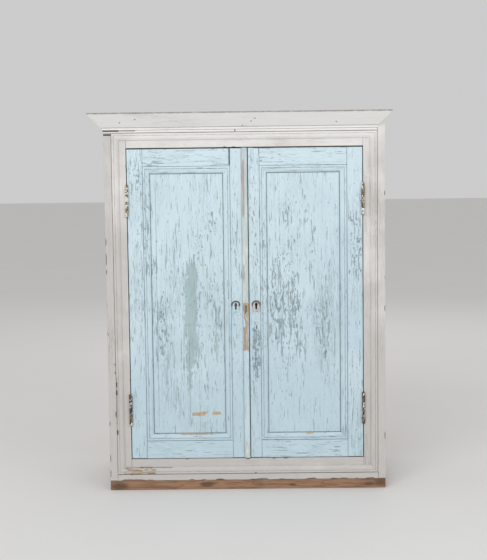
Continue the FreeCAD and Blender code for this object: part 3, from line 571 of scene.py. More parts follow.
def corner_radius(sizes, place, corner, seed, chips, bites, limit):
    """How far an edge has worn back at one place along it."""
    slow = noise.noise(Vector((place / (sizes.chip_run * 6), corner * 5.3, seed)))
    quick = noise.noise(Vector((place / sizes.chip_run, corner * 3.1, seed + 40.0)))
    tiny = noise.noise(Vector((place / (sizes.chip_run * 0.35), corner * 9.7, seed + 80.0)))
    radius = sizes.arris * (1.0 + 0.5 * slow)
    radius += sizes.chip * chips * max(0.0, quick + 0.45 * slow - 0.30) ** 1.4
    radius += sizes.chip * chips * 0.35 * max(0.0, tiny - 0.35)
    for which, centre, half_length, depth in bites:
        away = abs(place - centre) / half_length
        if which == corner and away < 1.0:
            radius += depth * (1 - away * away) * (0.75 + 0.5 * tiny)
    return min(radius, limit)


def across(size, sizes, cracks):
    """Distances across one side of a board where its sections have a point, and the cracks' depths."""
    edge = sizes.near_edge
    if size < 3 * edge:
        return [(size / 2, None)]
    inner = size - 2 * edge
    count = max(1, round(inner / sizes.rib))
    points = [(edge + inner * number / count, None) for number in range(count + 1)]
    for crack in cracks:
        centre, half = crack["across"] * size, crack["width"] / 2
        points = [(at, held) for at, held in points if abs(at - centre) > 2 * half]
        points += [(centre - half, None), (centre, crack), (centre + half, None)]
    return sorted(points, key=lambda point: point[0])


def crack_depth(crack, share, seed):
    """How deep a crack is at a share of the board's length: it thins out towards its ends."""
    start, end = crack["along"]
    if not start < share < end:
        return 0.0
    middle = (share - start) / (end - start)
    taper = min(1.0, 6 * min(middle, 1 - middle))
    return crack["depth"] * taper * (0.75 + 0.25 * noise.noise(Vector((share * 60, seed, 0.5))))


def plank(bm, low, high, grain, seed, bare=(), chips=1.0, bites=(), cracks=()):
    """Add a board to bm. Its edges are rubbed and chipped, and its faces are a little hollow.

    bare names the sides left unpainted. A bite is (corner, place, half length, depth) and takes a chip out
    of one edge. A crack runs along the grain of one side.
    """
    sizes = bpy.context.scene.pantry_boards
    u, v = (grain + 1) % 3, (grain + 2) % 3
    wide, deep = high[u] - low[u], high[v] - low[v]
    run = high[grain] - low[grain]
    limit = WIDEST_WEAR * min(wide, deep, THICK_BOARD)
    corners = [Vector((0, 0)), Vector((wide, 0)), Vector((wide, deep)), Vector((0, deep))]
    ways = [Vector((1, 0)), Vector((0, 1)), Vector((-1, 0)), Vector((0, -1))]
    names = SIDE_NAMES[grain]
    sides = [across(size, sizes, [crack for crack in cracks if crack["side"] == names[k]])
             for k, size in enumerate((wide, deep, wide, deep))]
    wear_layer = bm.verts.layers.float.get("wear") or bm.verts.layers.float.new("wear")
    grime_and_shade_layer = bm.verts.layers.float.get("grime") or bm.verts.layers.float.new("grime")
    ease = sizes.arris
    count = max(2, round((run - 2 * ease) / sizes.station))
    places = [ease + (run - 2 * ease) * number / count for number in range(count + 1)]
    places = [0.0, ease, sizes.end_dirt_and_shade] + places[1:-1] + [run - sizes.end_dirt_and_shade, run - ease, run]
    middle = Vector((wide / 2, deep / 2))
    rows = []
    for number, place in enumerate(places):
        world = low[grain] + place
        at_end = number in (0, len(places) - 1)
        # The ends and open cracks are darkened: painted shade where the board meets other parts, with
        # soiling.
        end_dirt_and_shade = float(min(number, len(places) - 1 - number) < 2)
        row = []
        for k in range(4):
            radius = corner_radius(sizes, world, k, seed, chips, bites, limit)
            worn = min(1.0, 0.15 + (radius - sizes.arris) / BARE_AFTER)
            before, way = ways[k - 1], ways[k]
            centre = corners[k] - radius * before + radius * way
            for step in range(ARC_STEPS + 1):
                turn = math.pi / 2 * step / ARC_STEPS
                flat = centre - radius * math.cos(turn) * way + radius * math.sin(turn) * before
                row.append((flat, worn, end_dirt_and_shade))
            inward = ways[(k + 1) % 4]
            for at, crack in sides[k]:
                hollow = 0.5 + 0.5 * noise.noise(Vector((world * 7, at * 22 + k * 5, seed)))
                dip = sizes.waviness * hollow
                open_here = crack_depth(crack, place / run, seed) if crack else 0.0
                row.append((corners[k] + at * way + (dip + open_here) * inward, 0.0,
                            max(end_dirt_and_shade, float(open_here > 0))))
        verts = []
        for flat, worn, dirt_and_shade in row:
            if at_end:
                flat = Vector([middle[i] + (flat[i] - middle[i]) * (1 - ease / middle[i]) for i in (0, 1)])
            spot = [0.0, 0.0, 0.0]
            spot[grain], spot[u], spot[v] = world, low[u] + flat[0], low[v] + flat[1]
            vert = bm.verts.new(spot)
            vert[wear_layer] = worn
            vert[grime_and_shade_layer] = dirt_and_shade
            verts.append(vert)
        rows.append(verts)
    painted = []
    for k in range(4):
        both = names[k] in bare and names[k - 1] in bare
        painted += [both] * ARC_STEPS + [names[k] in bare] * (len(sides[k]) + 1)
    total = len(painted)
    for lower, upper in zip(rows, rows[1:]):
        for i in range(total):
            face = bm.faces.new((lower[i], lower[(i + 1) % total], upper[(i + 1) % total], upper[i]))
            face.material_index = int(painted[i])
    for verts, name in ((rows[0][::-1], END_NAMES[grain][0]), (rows[-1], END_NAMES[grain][1])):
        bm.faces.new(verts).material_index = int(name in bare)


def as_mesh(name, bm):
    mesh = bpy.data.meshes.new(name)
    bm.to_mesh(mesh)
    bm.free()
    return mesh


def piece(name, mesh, node, materials, stands_for=()):
    """Link a finished mesh as a piece that rides with a CAD node's body."""
    for material in materials:
        mesh.materials.append(material)
    mesh.shade_smooth()
    mesh.set_sharp_from_angle(angle=SMOOTH_BELOW)
    obj = bpy.data.objects.new(name, mesh)
    bpy.context.scene.collection.objects.link(obj)
    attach(obj, BODY_OF[node])
    if stands_for:
        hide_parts(*stands_for)
    return obj


def solids(node):
    """The boxes of a CAD node's separate solids, in a steady order."""
    bm = bmesh.new()
    bm.from_mesh(frame["nodes"][node].data)
    bmesh.ops.remove_doubles(bm, verts=bm.verts, dist=SAME_POINT)
    seen, boxes = set(), []
    for start in bm.verts:
        if start in seen:
            continue
        seen.add(start)
        found, waiting = [], [start]
        while waiting:
            vert = waiting.pop()
            found.append(vert.co.copy())
            for edge in vert.link_edges:
                other = edge.other_vert(vert)
                if other not in seen:
                    seen.add(other)
                    waiting.append(other)
        boxes.append((Vector([min(co[i] for co in found) for i in range(3)]),
                      Vector([max(co[i] for co in found) for i in range(3)])))
    bm.free()
    return sorted(boxes, key=lambda box: tuple(round(value, 5) for value in box[0]))


def board(node, grain, slot, materials, **wear):
    """A worn piece for each solid of a CAD node that is a plain board or a set of boards."""
    bm = bmesh.new()
    for number, (low, high) in enumerate(solids(node)):
        plank(bm, low, high, grain, wear_seed(node) + number * 3.7, **wear)
    return piece(node + "_worn", as_mesh(node + "_worn", bm), node, materials, (node,))


def wear_seed(name):
    """A steady number for a piece, from its name."""
    start = bpy.context.scene.pantry_chance.seed
    return start + sum((place + 1) * ord(letter) for place, letter in enumerate(name)) % 97


def refined(node, material, ease):
    """A CAD node's shape with its edges eased. The copy is merged before its edges are cut."""
    bm = bmesh.new()
    bm.from_mesh(frame["nodes"][node].data)
    bmesh.ops.remove_doubles(bm, verts=bm.verts, dist=2 * SAME_POINT)
    bmesh.ops.dissolve_limit(bm, angle_limit=FLAT_BELOW, verts=bm.verts, edges=bm.edges)
    sharp = [edge for edge in bm.edges
             if len(edge.link_faces) == 2 and edge.calc_face_angle(0.0) > SMOOTH_BELOW]
    bmesh.ops.bevel(bm, geom=sharp, offset=ease, offset_type="OFFSET", segments=2, profile=0.5,
                    affect="EDGES", clamp_overlap=True)
    return piece(node + "_eased", as_mesh(node + "_eased", bm), node, [material], (node,))


# ---- geometry nodes -----------------------------------------------------------------------------

class Tree:
    """A geometry node tree while it is being made."""

    def __init__(self, name, inputs):
        self.tree = bpy.data.node_groups.new(name, "GeometryNodeTree")
        self.tree.interface.new_socket("Geometry", in_out="OUTPUT", socket_type="NodeSocketGeometry")
        self.tree.interface.new_socket("Geometry", in_out="INPUT", socket_type="NodeSocketGeometry")
        self.sockets = {}
        for label, kind in inputs.items():
            made = self.tree.interface.new_socket(label, in_out="INPUT", socket_type="NodeSocket" + kind)
            self.sockets[label] = made.identifier
        self.start = self.tree.nodes.new("NodeGroupInput")

    def given(self, label):
        return self.start.outputs[label]

    def node(self, kind, settings, inputs, output=0):
        """Add a node: its settings first, then its sockets' values or links. Returns one output."""
        made = self.tree.nodes.new(kind)
        for name, setting in settings.items():
            setattr(made, name, setting)
        for key, value in inputs.items():
            if isinstance(value, bpy.types.NodeSocket):
                self.tree.links.new(value, made.inputs[key])
            else:
                made.inputs[key].default_value = value
        return made.outputs[output]

    def maths(self, operation, *values):
        return self.node("ShaderNodeMath", {"operation": operation}, dict(enumerate(values)))

    def end(self, geometry, material):
        """Make instances real, set the material and close the tree."""
        real = self.node("GeometryNodeRealizeInstances", {}, {0: geometry})
        coated = self.node("GeometryNodeSetMaterial", {}, {"Geometry": real, "Material": material})
        finish_node = self.tree.nodes.new("NodeGroupOutput")
        self.tree.links.new(coated, finish_node.inputs[0])

    def run(self, name, mesh, **given):
        """The plain mesh that the tree makes of a mesh, with inputs given by their labels."""
        carrier = bpy.data.objects.new(name, mesh)
        bpy.context.scene.collection.objects.link(carrier)
        modifier = carrier.modifiers.new(self.tree.name, "NODES")
        modifier.node_group = self.tree
        for label, value in given.items():
            modifier[self.sockets[label.replace("_", " ")]] = value
        bpy.context.view_layer.update()
        evaluated = carrier.evaluated_get(bpy.context.evaluated_depsgraph_get())
        made = bpy.data.meshes.new_from_object(evaluated)
        made.name = name
        bpy.data.objects.remove(carrier)
        return made


def moulding_tree():
    """Sweeps a section drawn across Y and up Z along X, cuts its mitres and knocks nicks into it."""
    t = Tree("moulding_run", {
        "Length": "Float", "Stations": "Int", "Start Mitre": "Float", "End Mitre": "Float",
        "Nick": "Float", "Height": "Float", "Quirk": "Float", "Quirk Dirt": "Float", "Width": "Float",
        "Lip Dirt": "Float", "Step": "Float", "Step Dirt": "Float", "Seed": "Float",
        "Material": "Material"})
    section = t.node("GeometryNodeMeshToCurve", {}, {"Mesh": t.given("Geometry")})
    section = t.node("GeometryNodeStoreNamedAttribute", {"data_type": "FLOAT_VECTOR"}, {
        "Geometry": section, "Name": "section",
        "Value": t.node("GeometryNodeInputPosition", {}, {})})
    path = t.node("GeometryNodeCurvePrimitiveLine", {}, {"Start": (0, 0, 0), "End": (1, 0, 0)})
    path = t.node("GeometryNodeResampleCurve", {}, {"Curve": path, "Count": t.given("Stations")})
    path = t.node("GeometryNodeStoreNamedAttribute", {"data_type": "FLOAT"}, {
        "Geometry": path, "Name": "run",
        "Value": t.node("GeometryNodeSplineParameter", {}, {}, "Factor")})
    swept = t.node("GeometryNodeCurveToMesh", {}, {
        "Curve": path, "Profile Curve": section, "Fill Caps": True})
    flat = t.node("GeometryNodeInputNamedAttribute", {"data_type": "FLOAT_VECTOR"}, {"Name": "section"})
    parts = t.tree.nodes.new("ShaderNodeSeparateXYZ")
    t.tree.links.new(flat, parts.inputs[0])
    inwards, upwards = parts.outputs["Y"], parts.outputs["Z"]
    share = t.node("GeometryNodeInputNamedAttribute", {"data_type": "FLOAT"}, {"Name": "run"})
    left = t.maths("MULTIPLY_ADD", inwards, t.given("Start Mitre"),
                   t.maths("MULTIPLY", t.given("Length"), -0.5))
    right = t.maths("SUBTRACT", t.maths("MULTIPLY", t.given("Length"), 0.5),
                    t.maths("MULTIPLY", inwards, t.given("End Mitre")))
    east = t.maths("MULTIPLY_ADD", t.maths("SUBTRACT", right, left), share, left)
    lattice = t.node("ShaderNodeCombineXYZ", {}, {
        "X": t.maths("MULTIPLY", east, 0.16), "Y": inwards, "Z": upwards})
    rough = t.node("ShaderNodeTexNoise", {"noise_dimensions": "4D"}, {
        "Vector": lattice, "W": t.given("Seed"), "Scale": 420.0, "Detail": 3.0, "Roughness": 0.65}, 0)
    nick = t.node("ShaderNodeMapRange", {}, {"Value": rough, "From Min": 0.58, "From Max": 0.80})
    lifted = t.maths("MULTIPLY", nick, t.maths("DIVIDE", upwards, t.given("Height")))
    up = t.maths("SUBTRACT", upwards, t.maths("MULTIPLY", lifted, t.given("Nick")))
    moved = t.node("ShaderNodeCombineXYZ", {}, {"X": east, "Y": inwards, "Z": up})
    shaped = t.node("GeometryNodeSetPosition", {}, {"Geometry": swept, "Position": moved})
    worn = t.node("GeometryNodeStoreNamedAttribute", {"data_type": "FLOAT"}, {
        "Geometry": shaped, "Name": "wear", "Value": t.maths("MULTIPLY", lifted, 1.15)})
    # Darker in the quirk, along the inner lip and at the foot of the bead: painted shade in these hollows,
    # with soiling.
    outer = t.node("ShaderNodeMapRange", {}, {
        "Value": inwards, "From Min": t.given("Quirk"), "From Max": 0.0, "To Max": t.given("Quirk Dirt")})
    inner = t.node("ShaderNodeMapRange", {}, {
        "Value": inwards, "From Min": t.maths("SUBTRACT", t.given("Width"), t.given("Quirk")),
        "From Max": t.given("Width"), "To Max": t.given("Lip Dirt")})
    from_step = t.maths("ABSOLUTE", t.maths("SUBTRACT", inwards, t.given("Step")))
    step = t.node("ShaderNodeMapRange", {}, {
        "Value": from_step, "From Min": 0.0004, "From Max": 0.0, "To Max": t.given("Step Dirt")})
    grimy = t.node("GeometryNodeStoreNamedAttribute", {"data_type": "FLOAT"}, {
        "Geometry": worn, "Name": "grime",
        "Value": t.maths("MAXIMUM", t.maths("MAXIMUM", outer, inner), step)})
    t.end(grimy, t.given("Material"))
    return t


def fastener_tree():
    """Sets a turned piece on every point, its own Z along the point's facing, spun by chance."""
    t = Tree("fasteners", {"Piece": "Object", "Seed": "Int", "Material": "Material"})
    item = t.node("GeometryNodeObjectInfo", {}, {"Object": t.given("Piece")}, "Geometry")
    facing = t.node("GeometryNodeInputNamedAttribute", {"data_type": "FLOAT_VECTOR"}, {"Name": "facing"})
    aimed = t.node("FunctionNodeAlignRotationToVector", {"axis": "Z"}, {"Vector": facing})
    spin = t.node("FunctionNodeRandomValue", {"data_type": "FLOAT"},
                  {"Min": 0.0, "Max": math.tau, "Seed": t.given("Seed")}, 1)
    turn = t.node("FunctionNodeAxisAngleToRotation", {}, {"Axis": (0, 0, 1), "Angle": spin})
    turned = t.node("FunctionNodeRotateRotation", {"rotation_space": "LOCAL"},
                    {"Rotation": aimed, "Rotate By": turn})
    points = t.node("GeometryNodeMeshToPoints", {}, {"Mesh": t.given("Geometry")})
    placed = t.node("GeometryNodeInstanceOnPoints", {}, {
        "Points": points, "Instance": item, "Rotation": turned})
    t.end(placed, t.given("Material"))
    return t


def loop_mesh(name, points):
    """A closed loop of edges in the YZ plane."""
    bm = bmesh.new()
    verts = [bm.verts.new((0.0, across_, up)) for across_, up in points]
    for first, second in zip(verts, verts[1:] + verts[:1]):
        bm.edges.new((first, second))
    return as_mesh(name, bm)


def arc(start, end, radius, steps=7):
    """Points after start on the way to end, on an arc that bows to the left for a positive radius."""
    start, end = Vector(start), Vector(end)
    chord = end - start
    side = Vector((-chord.y, chord.x)).normalized() * (1 if radius > 0 else -1)
    reach = math.sqrt(max(radius * radius - chord.length_squared / 4, 0.0))
    centre = (start + end) / 2 - side * reach
    first = math.atan2(*(start - centre).yx)
    sweep = math.atan2(*(end - centre).yx) - first
    sweep = (sweep + math.pi) % math.tau - math.pi
    return [tuple(centre + Vector((math.cos(first + sweep * n / steps), math.sin(first + sweep * n / steps)))
                  * abs(radius)) for n in range(1, steps + 1)]


def moulding_section(width):
    """A quirk and a low bead at the outer edge, then a cove that falls to a thin lip."""
    m = bpy.context.scene.pantry_mouldings
    height = m.height
    points = [(0.0, 0.0), (width, 0.0), (width, m.lip)]
    points += arc(points[-1], (m.bead, height - m.step), -1.05 * (width - m.bead))
    points.append((m.bead, height))
    points += arc(points[-1], (m.quirk, height), -0.75 * m.bead, 5)
    points.append((0.0, height - m.quirk_depth))
    return points


def cornice_section(depth, height):
    """A sloped fascia with an upright lip over two bed steps. A smaller depth leaves the back off."""
    c = bpy.context.scene.pantry_cornice
    bed = 2 * c.bed_height
    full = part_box("cornice_front")[1].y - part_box("cornice_front")[0].y
    foot = full - c.foot - 2 * c.bed_depth
    if depth < foot:
        slope = (height - c.lip - bed) / foot
        return [(0.0, height), (0.0, height - c.lip), (depth, height - c.lip - slope * depth),
                (depth, height)]
    return [(0.0, height), (0.0, height - c.lip), (foot, bed), (foot + c.bed_depth, bed),
            (foot + c.bed_depth, c.bed_height), (full - c.foot, c.bed_height), (full - c.foot, 0.0),
            (depth, 0.0), (depth, height)]


def subdivided(points, pitch):
    """The same outline with its long straight runs divided."""
    result = []
    for first, second in zip(points, points[1:] + points[:1]):
        gap = math.dist(first, second)
        count = max(1, round(gap / pitch))
        result += [tuple(a + (b - a) * n / count for a, b in zip(first, second)) for n in range(count)]
    return result


def moulding_mesh(tree, name, section, run, at, inwards, upwards, mitres, material, nick=1.0,
                  dirt_and_shade=(0.85, 0.0, 0.0)):
    """One length of moulding in its place. at is the middle of its outer edge, on its seat.

    The last argument says how dark its outer edge, its inner edge and the foot of its bead are:
    painted shade in these hollows, with some soiling.
    """
    m = bpy.context.scene.pantry_mouldings
    height = max(up for across_, up in section)
    made = tree.run(name, loop_mesh(name + "_section", section), Length=run,
                    Stations=max(2, round(run / m.station)), Start_Mitre=float(mitres[0]),
                    End_Mitre=float(mitres[1]), Nick=m.nick * nick, Height=height, Quirk=m.quirk,
                    Quirk_Dirt=dirt_and_shade[0], Width=max(across_ for across_, up in section), Lip_Dirt=dirt_and_shade[1],
                    Step=m.bead, Step_Dirt=dirt_and_shade[2],
                    Seed=float(wear_seed(name)), Material=material)
    inwards, upwards = Vector(inwards), Vector(upwards)
    turn = Matrix((inwards.cross(upwards), inwards, upwards)).transposed().to_4x4()
    made.transform(Matrix.Translation(at) @ turn)
    bm = bmesh.new()
    bm.from_mesh(made)
    bmesh.ops.recalc_face_normals(bm, faces=bm.faces)
    bm.to_mesh(made)
    bm.free()
    for spare in ("section", "run"):
        if spare in made.attributes:
            made.attributes.remove(made.attributes[spare])
    made.materials.clear()
    return made


TURNED_SIDES = 14


def turned(name, outline):
    """A small turned piece from (radius, height) points, about its own Z."""
    bm = bmesh.new()
    turns = [math.tau * n / TURNED_SIDES for n in range(TURNED_SIDES)]
    rings = [[bm.verts.new((radius * math.cos(turn), radius * math.sin(turn), up)) for turn in turns]
             for radius, up in outline]
    for lower, upper in zip(rings, rings[1:]):
        for n in range(TURNED_SIDES):
            after = (n + 1) % TURNED_SIDES
            bm.faces.new((lower[n], lower[after], upper[after], upper[n]))
    bm.faces.new(rings[0][::-1])
    bm.faces.new(rings[-1])
    bmesh.ops.recalc_face_normals(bm, faces=bm.faces)
    obj = bpy.data.objects.new(name, as_mesh(name, bm))
    bpy.context.scene.collection.objects.link(obj)
    return obj


def fasteners(tree, name, item, places, node, material):
    """Nails or screws at (point, facing) places, as one piece on the CAD node's body."""
    mesh = bpy.data.meshes.new(name + "_points")
    mesh.from_pydata([tuple(point) for point, facing in places], [], [])
    facing_layer = mesh.attributes.new("facing", "FLOAT_VECTOR", "POINT")
    for number, (point, facing) in enumerate(places):
        facing_layer.data[number].vector = facing
    made = tree.run(name, mesh, Piece=item, Seed=wear_seed(name), Material=material)
    made.materials.clear()
    return piece(name, made, node, [material])


# ---- operators ----------------------------------------------------------------------------------

def share_of(node, left, right, bottom, top):
    """A rectangle on a node's front, given as shares of the node's width and height."""
    low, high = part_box(node)
    wide, tall = high.x - low.x, high.z - low.z
    return low.x + wide * left, low.x + wide * right, low.z + tall * bottom, low.z + tall * top


def spots(node, *rows):
    """Marks on a node's front. A row has left, right, bottom and top as shares of the node's box.

    After them come an area's softness and strength, or a line's strength alone.
    """
    return [(share_of(node, *row[:4]), *row[4:]) for row in rows]


def plain_cream(grain):
    return finish("cream_upright" if grain == Z else "cream_level", cream_paint, grain)


def inner_pine(grain):
    c = bpy.context.scene.pantry_colours
    return finish(f"inner_pine_{'xyz'[grain]}", pine, grain, c.pine, c.pine_dark)


class PANTRY_OT_carcass(bpy.types.Operator):
    """Make the sides, top, header, bottom, base and back as worn boards"""

    bl_idname = "pantry.carcass"
    bl_label = "Carcass"

    def execute(self, context):
        c = context.scene.pantry_colours
        cream_z, cream_x = plain_cream(Z), plain_cream(X)
        low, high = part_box("side_left")
        tall = high.z - low.z
        left_bites = [(0, low.z + tall * share, reach, depth) for share, reach, depth in (
            (0.655, 0.010, 0.0030), (0.610, 0.018, 0.0036), (0.575, 0.008, 0.0030), (0.405, 0.007, 0.0032),
            (0.160, 0.009, 0.0034), (0.062, 0.014, 0.0026), (0.020, 0.012, 0.0036))]
        left_bites += [(1, low.z + tall * share, reach, depth) for share, reach, depth in (
            (0.322, 0.006, 0.0030), (0.300, 0.005, 0.0030), (0.185, 0.009, 0.0034))]
        # A near-black line across the side board's front near its top, where the strip ends: painted shade.
        shade_line = spots("side_left", (-0.2, 1.2, 0.9405, 0.9450, 1.0))
        side_coat = finish("cream_side_left", cream_paint, Z, clean=-0.6, dark=shade_line)
        board("side_left", Z, "cream_paint", [side_coat, inner_pine(Z)], bare=("right", "back", "top"),
              bites=left_bites, chips=1.2)
        board("side_right", Z, "cream_paint", [cream_z, inner_pine(Z)], bare=("left", "back", "top"),
              bites=[(1, low.z + tall * share, 0.010, 0.0026) for share in (0.12, 0.47, 0.78)])
        board("top_board", X, "cream_paint", [inner_pine(X), inner_pine(X)])
        board("header_board", X, "cream_paint", [cream_x, inner_pine(X)], bare=("back", "bottom"))
        self.bottom(cream_x)
        knots = [((-0.106, 0.014), 0.011), ((0.392, 0.016), 0.014), ((0.360, 0.012), 0.010),
                 ((-0.356, 0.012), 0.015), ((0.140, 0.011), 0.006)]
        for side, grain in (("front", X), ("back", X), ("left", Y), ("right", Y)):
            wood = finish(f"bare_pine_{side}", pine, grain, c.base, c.base_dark,
                          knots=knots if side == "front" else (), tired=0.2)
            board("base_" + side, grain, "bare_pine", [wood], chips=1.6)
        back = finish("back_pine", pine, Z, c.pine, c.pine_dark, tired=0.30)
        board("back_boards", Z, "inner_pine", [back], chips=1.2)
        return {"FINISHED"}

    def bottom(self, cream):
        """The bottom board, whose painted front edge is ragged where it meets the base."""
        low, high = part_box("bottom_board")
        chance = random.Random(context_seed() + 11)
        bites = [(0, low.x + (high.x - low.x) * chance.random() ** 1.5, chance.uniform(0.006, 0.020),
                  chance.uniform(0.0008, 0.0030)) for _ in range(26)]
        board("bottom_board", X, "inner_pine", [cream, inner_pine(X)], bare=("back", "bottom", "top"),
              bites=bites, chips=1.6)


def context_seed():
    return bpy.context.scene.pantry_chance.seed


class PANTRY_OT_fittings_inside(bpy.types.Operator):
    """Make the shelves, their battens and the door stops"""

    bl_idname = "pantry.inside"
    bl_label = "Shelves and stops"

    def execute(self, context):
        for node in ("shelf_lower", "shelf_upper"):
            board(node, X, "inner_pine", [inner_pine(X)], chips=0.8)
        board("shelf_battens", Y, "inner_pine", [inner_pine(Y)], chips=0.6)
        board("door_stops", X, "inner_pine", [inner_pine(X)], chips=0.6)
        return {"FINISHED"}


class PANTRY_OT_face_frame(bpy.types.Operator):
    """Make the face frame's stiles and rails and the mouldings planted on them"""

    bl_idname = "pantry.face_frame"
    bl_label = "Face frame"

    def execute(self, context):
        upright = [plain_cream(Z), inner_pine(Z)]
        level = [plain_cream(X), inner_pine(X)]
        board("frame_stile_left", Z, "cream_paint", upright, bare=("back",))
        board("frame_stile_right", Z, "cream_paint", upright, bare=("back",))
        board("frame_rail_top", X, "cream_paint", level, bare=("back",))
        board("frame_rail_bottom", X, "cream_paint", level, bare=("back",),
              bites=[(3, place, 0.006, 0.0022) for place in (0.012, 0.088, 0.121)])
        foot = "frame_moulding_bottom"
        missing = spots(foot, (0.018, 0.150, -0.3, 0.90, 0.007, 0.95), (0.100, 0.215, 0.55, 0.90, 0.005, 0.7))
        flaked = spots(foot, (0.120, 0.190, 0.05, 0.55, 0.005, 0.5))
        # Near-black lines along the moulding's lower and upper edges are painted shade where it meets the
        # parts beside it; the short upright line is a joint.
        edges = spots(foot, (-0.01, 1.01, -0.10, 0.08, 0.75), (0.031, 0.21, 0.86, 0.97, 0.6),
                      (0.528, 0.533, -0.30, 0.22, 1.0))
        ticks = spots("frame_moulding_left", *((-0.10, 0.22, share, share + 0.014, 0.9)
                                               for share in (0.262, 0.238, 0.120)),
                      (0.10, 0.20, 0.150, 0.290, 0.45))
        finishes = {
            "top": finish("cream_level_pale", cream_paint, X, clean=0.25),
            "bottom": finish("cream_moulding_bottom", cream_paint, X, dark=edges, damage=(missing, flaked)),
            "left": finish("cream_moulding_left", cream_paint, Z, dark=ticks),
            "right": plain_cream(Z),
        }
        ring(moulding_tree(), "frame_moulding", finishes, (0.85, 0.60, 0.75))
        return {"FINISHED"}


def ring(tree, prefix, finishes, dirt_and_shade):
    """Four mitred mouldings round a rectangle, each seated where its CAD node's back is."""
    level = {"top": (0, 0, -1), "bottom": (0, 0, 1)}
    upright = {"left": (1, 0, 0), "right": (-1, 0, 0)}
    for side, inwards in {**level, **upright}.items():
        node = f"{prefix}_{side}"
        low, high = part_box(node)
        at = (low + high) / 2
        at.y = high.y
        if side in level:
            run, width = high.x - low.x, high.z - low.z
            at.z = high.z if side == "top" else low.z
        else:
            run, width = high.z - low.z, high.x - low.x
            at.x = low.x if side == "left" else high.x
        mesh = moulding_mesh(tree, node + "_worn", moulding_section(width), run, at, inwards,
                             (0, -1, 0), (1, 1), finishes[side], dirt_and_shade=dirt_and_shade)
        piece(node + "_worn", mesh, node, [finishes[side]], (node,))


OUTLINE_PITCH = 0.006
CORNICE_NICK = 0.25


class PANTRY_OT_cornice(bpy.types.Operator):
    """Make the cornice's front length and its two returns, and the nails that hold them"""

    bl_idname = "pantry.cornice"
    bl_label = "Cornice"

    def execute(self, context):
        c = context.scene.pantry_cornice
        tree = moulding_tree()
        low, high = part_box("cornice_front")
        bed = c.bed_height / (high.z - low.z)
        # Near-black lines under the three bed steps are painted shade; the two areas and the short upright
        # line are an open crack and a joint.
        lines = spots("cornice_front", *((-0.1, 1.1, bed * step - 0.004, bed * step + 0.022, 0.55)
                                         for step in (0, 1, 2)),
                      (0.046, 0.100, 0.060, 0.150, 1.0), (0.090, 0.155, 0.080, 0.125, 0.9),
                      (0.482, 0.486, 0.020, 0.130, 0.9))
        pale_x = finish("cornice_level", cream_paint, X, clean=0.85, dark=lines)
        pale_y = finish("cornice_deep", cream_paint, Y, clean=0.85)
        width, height = high.y - low.y, high.z - low.z
        section = subdivided(cornice_section(width, height), OUTLINE_PITCH)
        up = (0, 0, 1)
        at = Vector(((low.x + high.x) / 2, low.y, low.z))
        front = moulding_mesh(tree, "cornice_front_worn", section, high.x - low.x, at, (0, 1, 0), up,
                              (1, 1), pale_x, nick=CORNICE_NICK)
        piece("cornice_front_worn", front, "cornice_front", [pale_x], ("cornice_front",))
        low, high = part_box("cornice_return_left")
        at = Vector((low.x, (low.y + high.y) / 2, low.z))
        left = moulding_mesh(tree, "cornice_return_left_worn", section, high.y - low.y, at, (1, 0, 0), up,
                             (0, 1), pale_y, nick=CORNICE_NICK)
        piece("cornice_return_left_worn", left, "cornice_return_left", [pale_y],
              ("cornice_return_left",))
        self.right_return(tree, section, height, pale_y)
        self.nails(c, width, height)
        return {"FINISHED"}

    def right_return(self, tree, section, height, pale):
        """The right return: whole as far back as the side board, and thin beside it."""
        low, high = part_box("cornice_return_right")
        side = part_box("side_right")
        face = side[0].y
        corner = Vector((high.x, (low.y + face) / 2, low.z))
        block = moulding_mesh(tree, "cornice_corner", section, face - low.y, corner, (-1, 0, 0), (0, 0, 1),
                              (1, 0), pale, nick=CORNICE_NICK)
        thin = subdivided(cornice_section(high.x - side[1].x, height), OUTLINE_PITCH)
        beside = Vector((high.x, (face + high.y) / 2, low.z))
        strip = moulding_mesh(tree, "cornice_strip", thin, high.y - face, beside, (-1, 0, 0), (0, 0, 1),
                              (0, 0), pale, nick=CORNICE_NICK)
        bm = bmesh.new()
        bm.from_mesh(block)
        bm.from_mesh(strip)
        piece("cornice_return_right_worn", as_mesh("cornice_return_right_worn", bm), "cornice_return_right",
              [pale], ("cornice_return_right",))

    def nails(self, c, width, height):
        """Nail heads on the fascia, a little sunk, where the cornice is fixed to the header."""
        low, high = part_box("cornice_front")
        bed = 2 * c.bed_height
        foot = width - c.foot - 2 * c.bed_depth
        rise = height - c.lip - bed
        facing = Vector((0, -rise, -foot)).normalized()
        sunk = 0.0002
        places = []
        for across_share, up_share in ((0.106, 0.36), (0.157, 0.57), (0.509, 0.08), (0.538, 0.37),
                                       (0.5505, 0.56), (0.818, 0.27)):
            spot = Vector((low.x + (high.x - low.x) * across_share,
                           low.y + foot * (1 - up_share), low.z + bed + rise * up_share))
            places.append((spot + facing * -sunk, facing))
        head = turned("nail_head", [(c.nail, 0.0), (c.nail, 0.0002), (c.nail * 0.7, 0.00045)])
        iron = finish("old_iron", old_iron)
        fasteners(fastener_tree(), "cornice_nails", head, places, "cornice_front", iron)
        bpy.data.objects.remove(head)


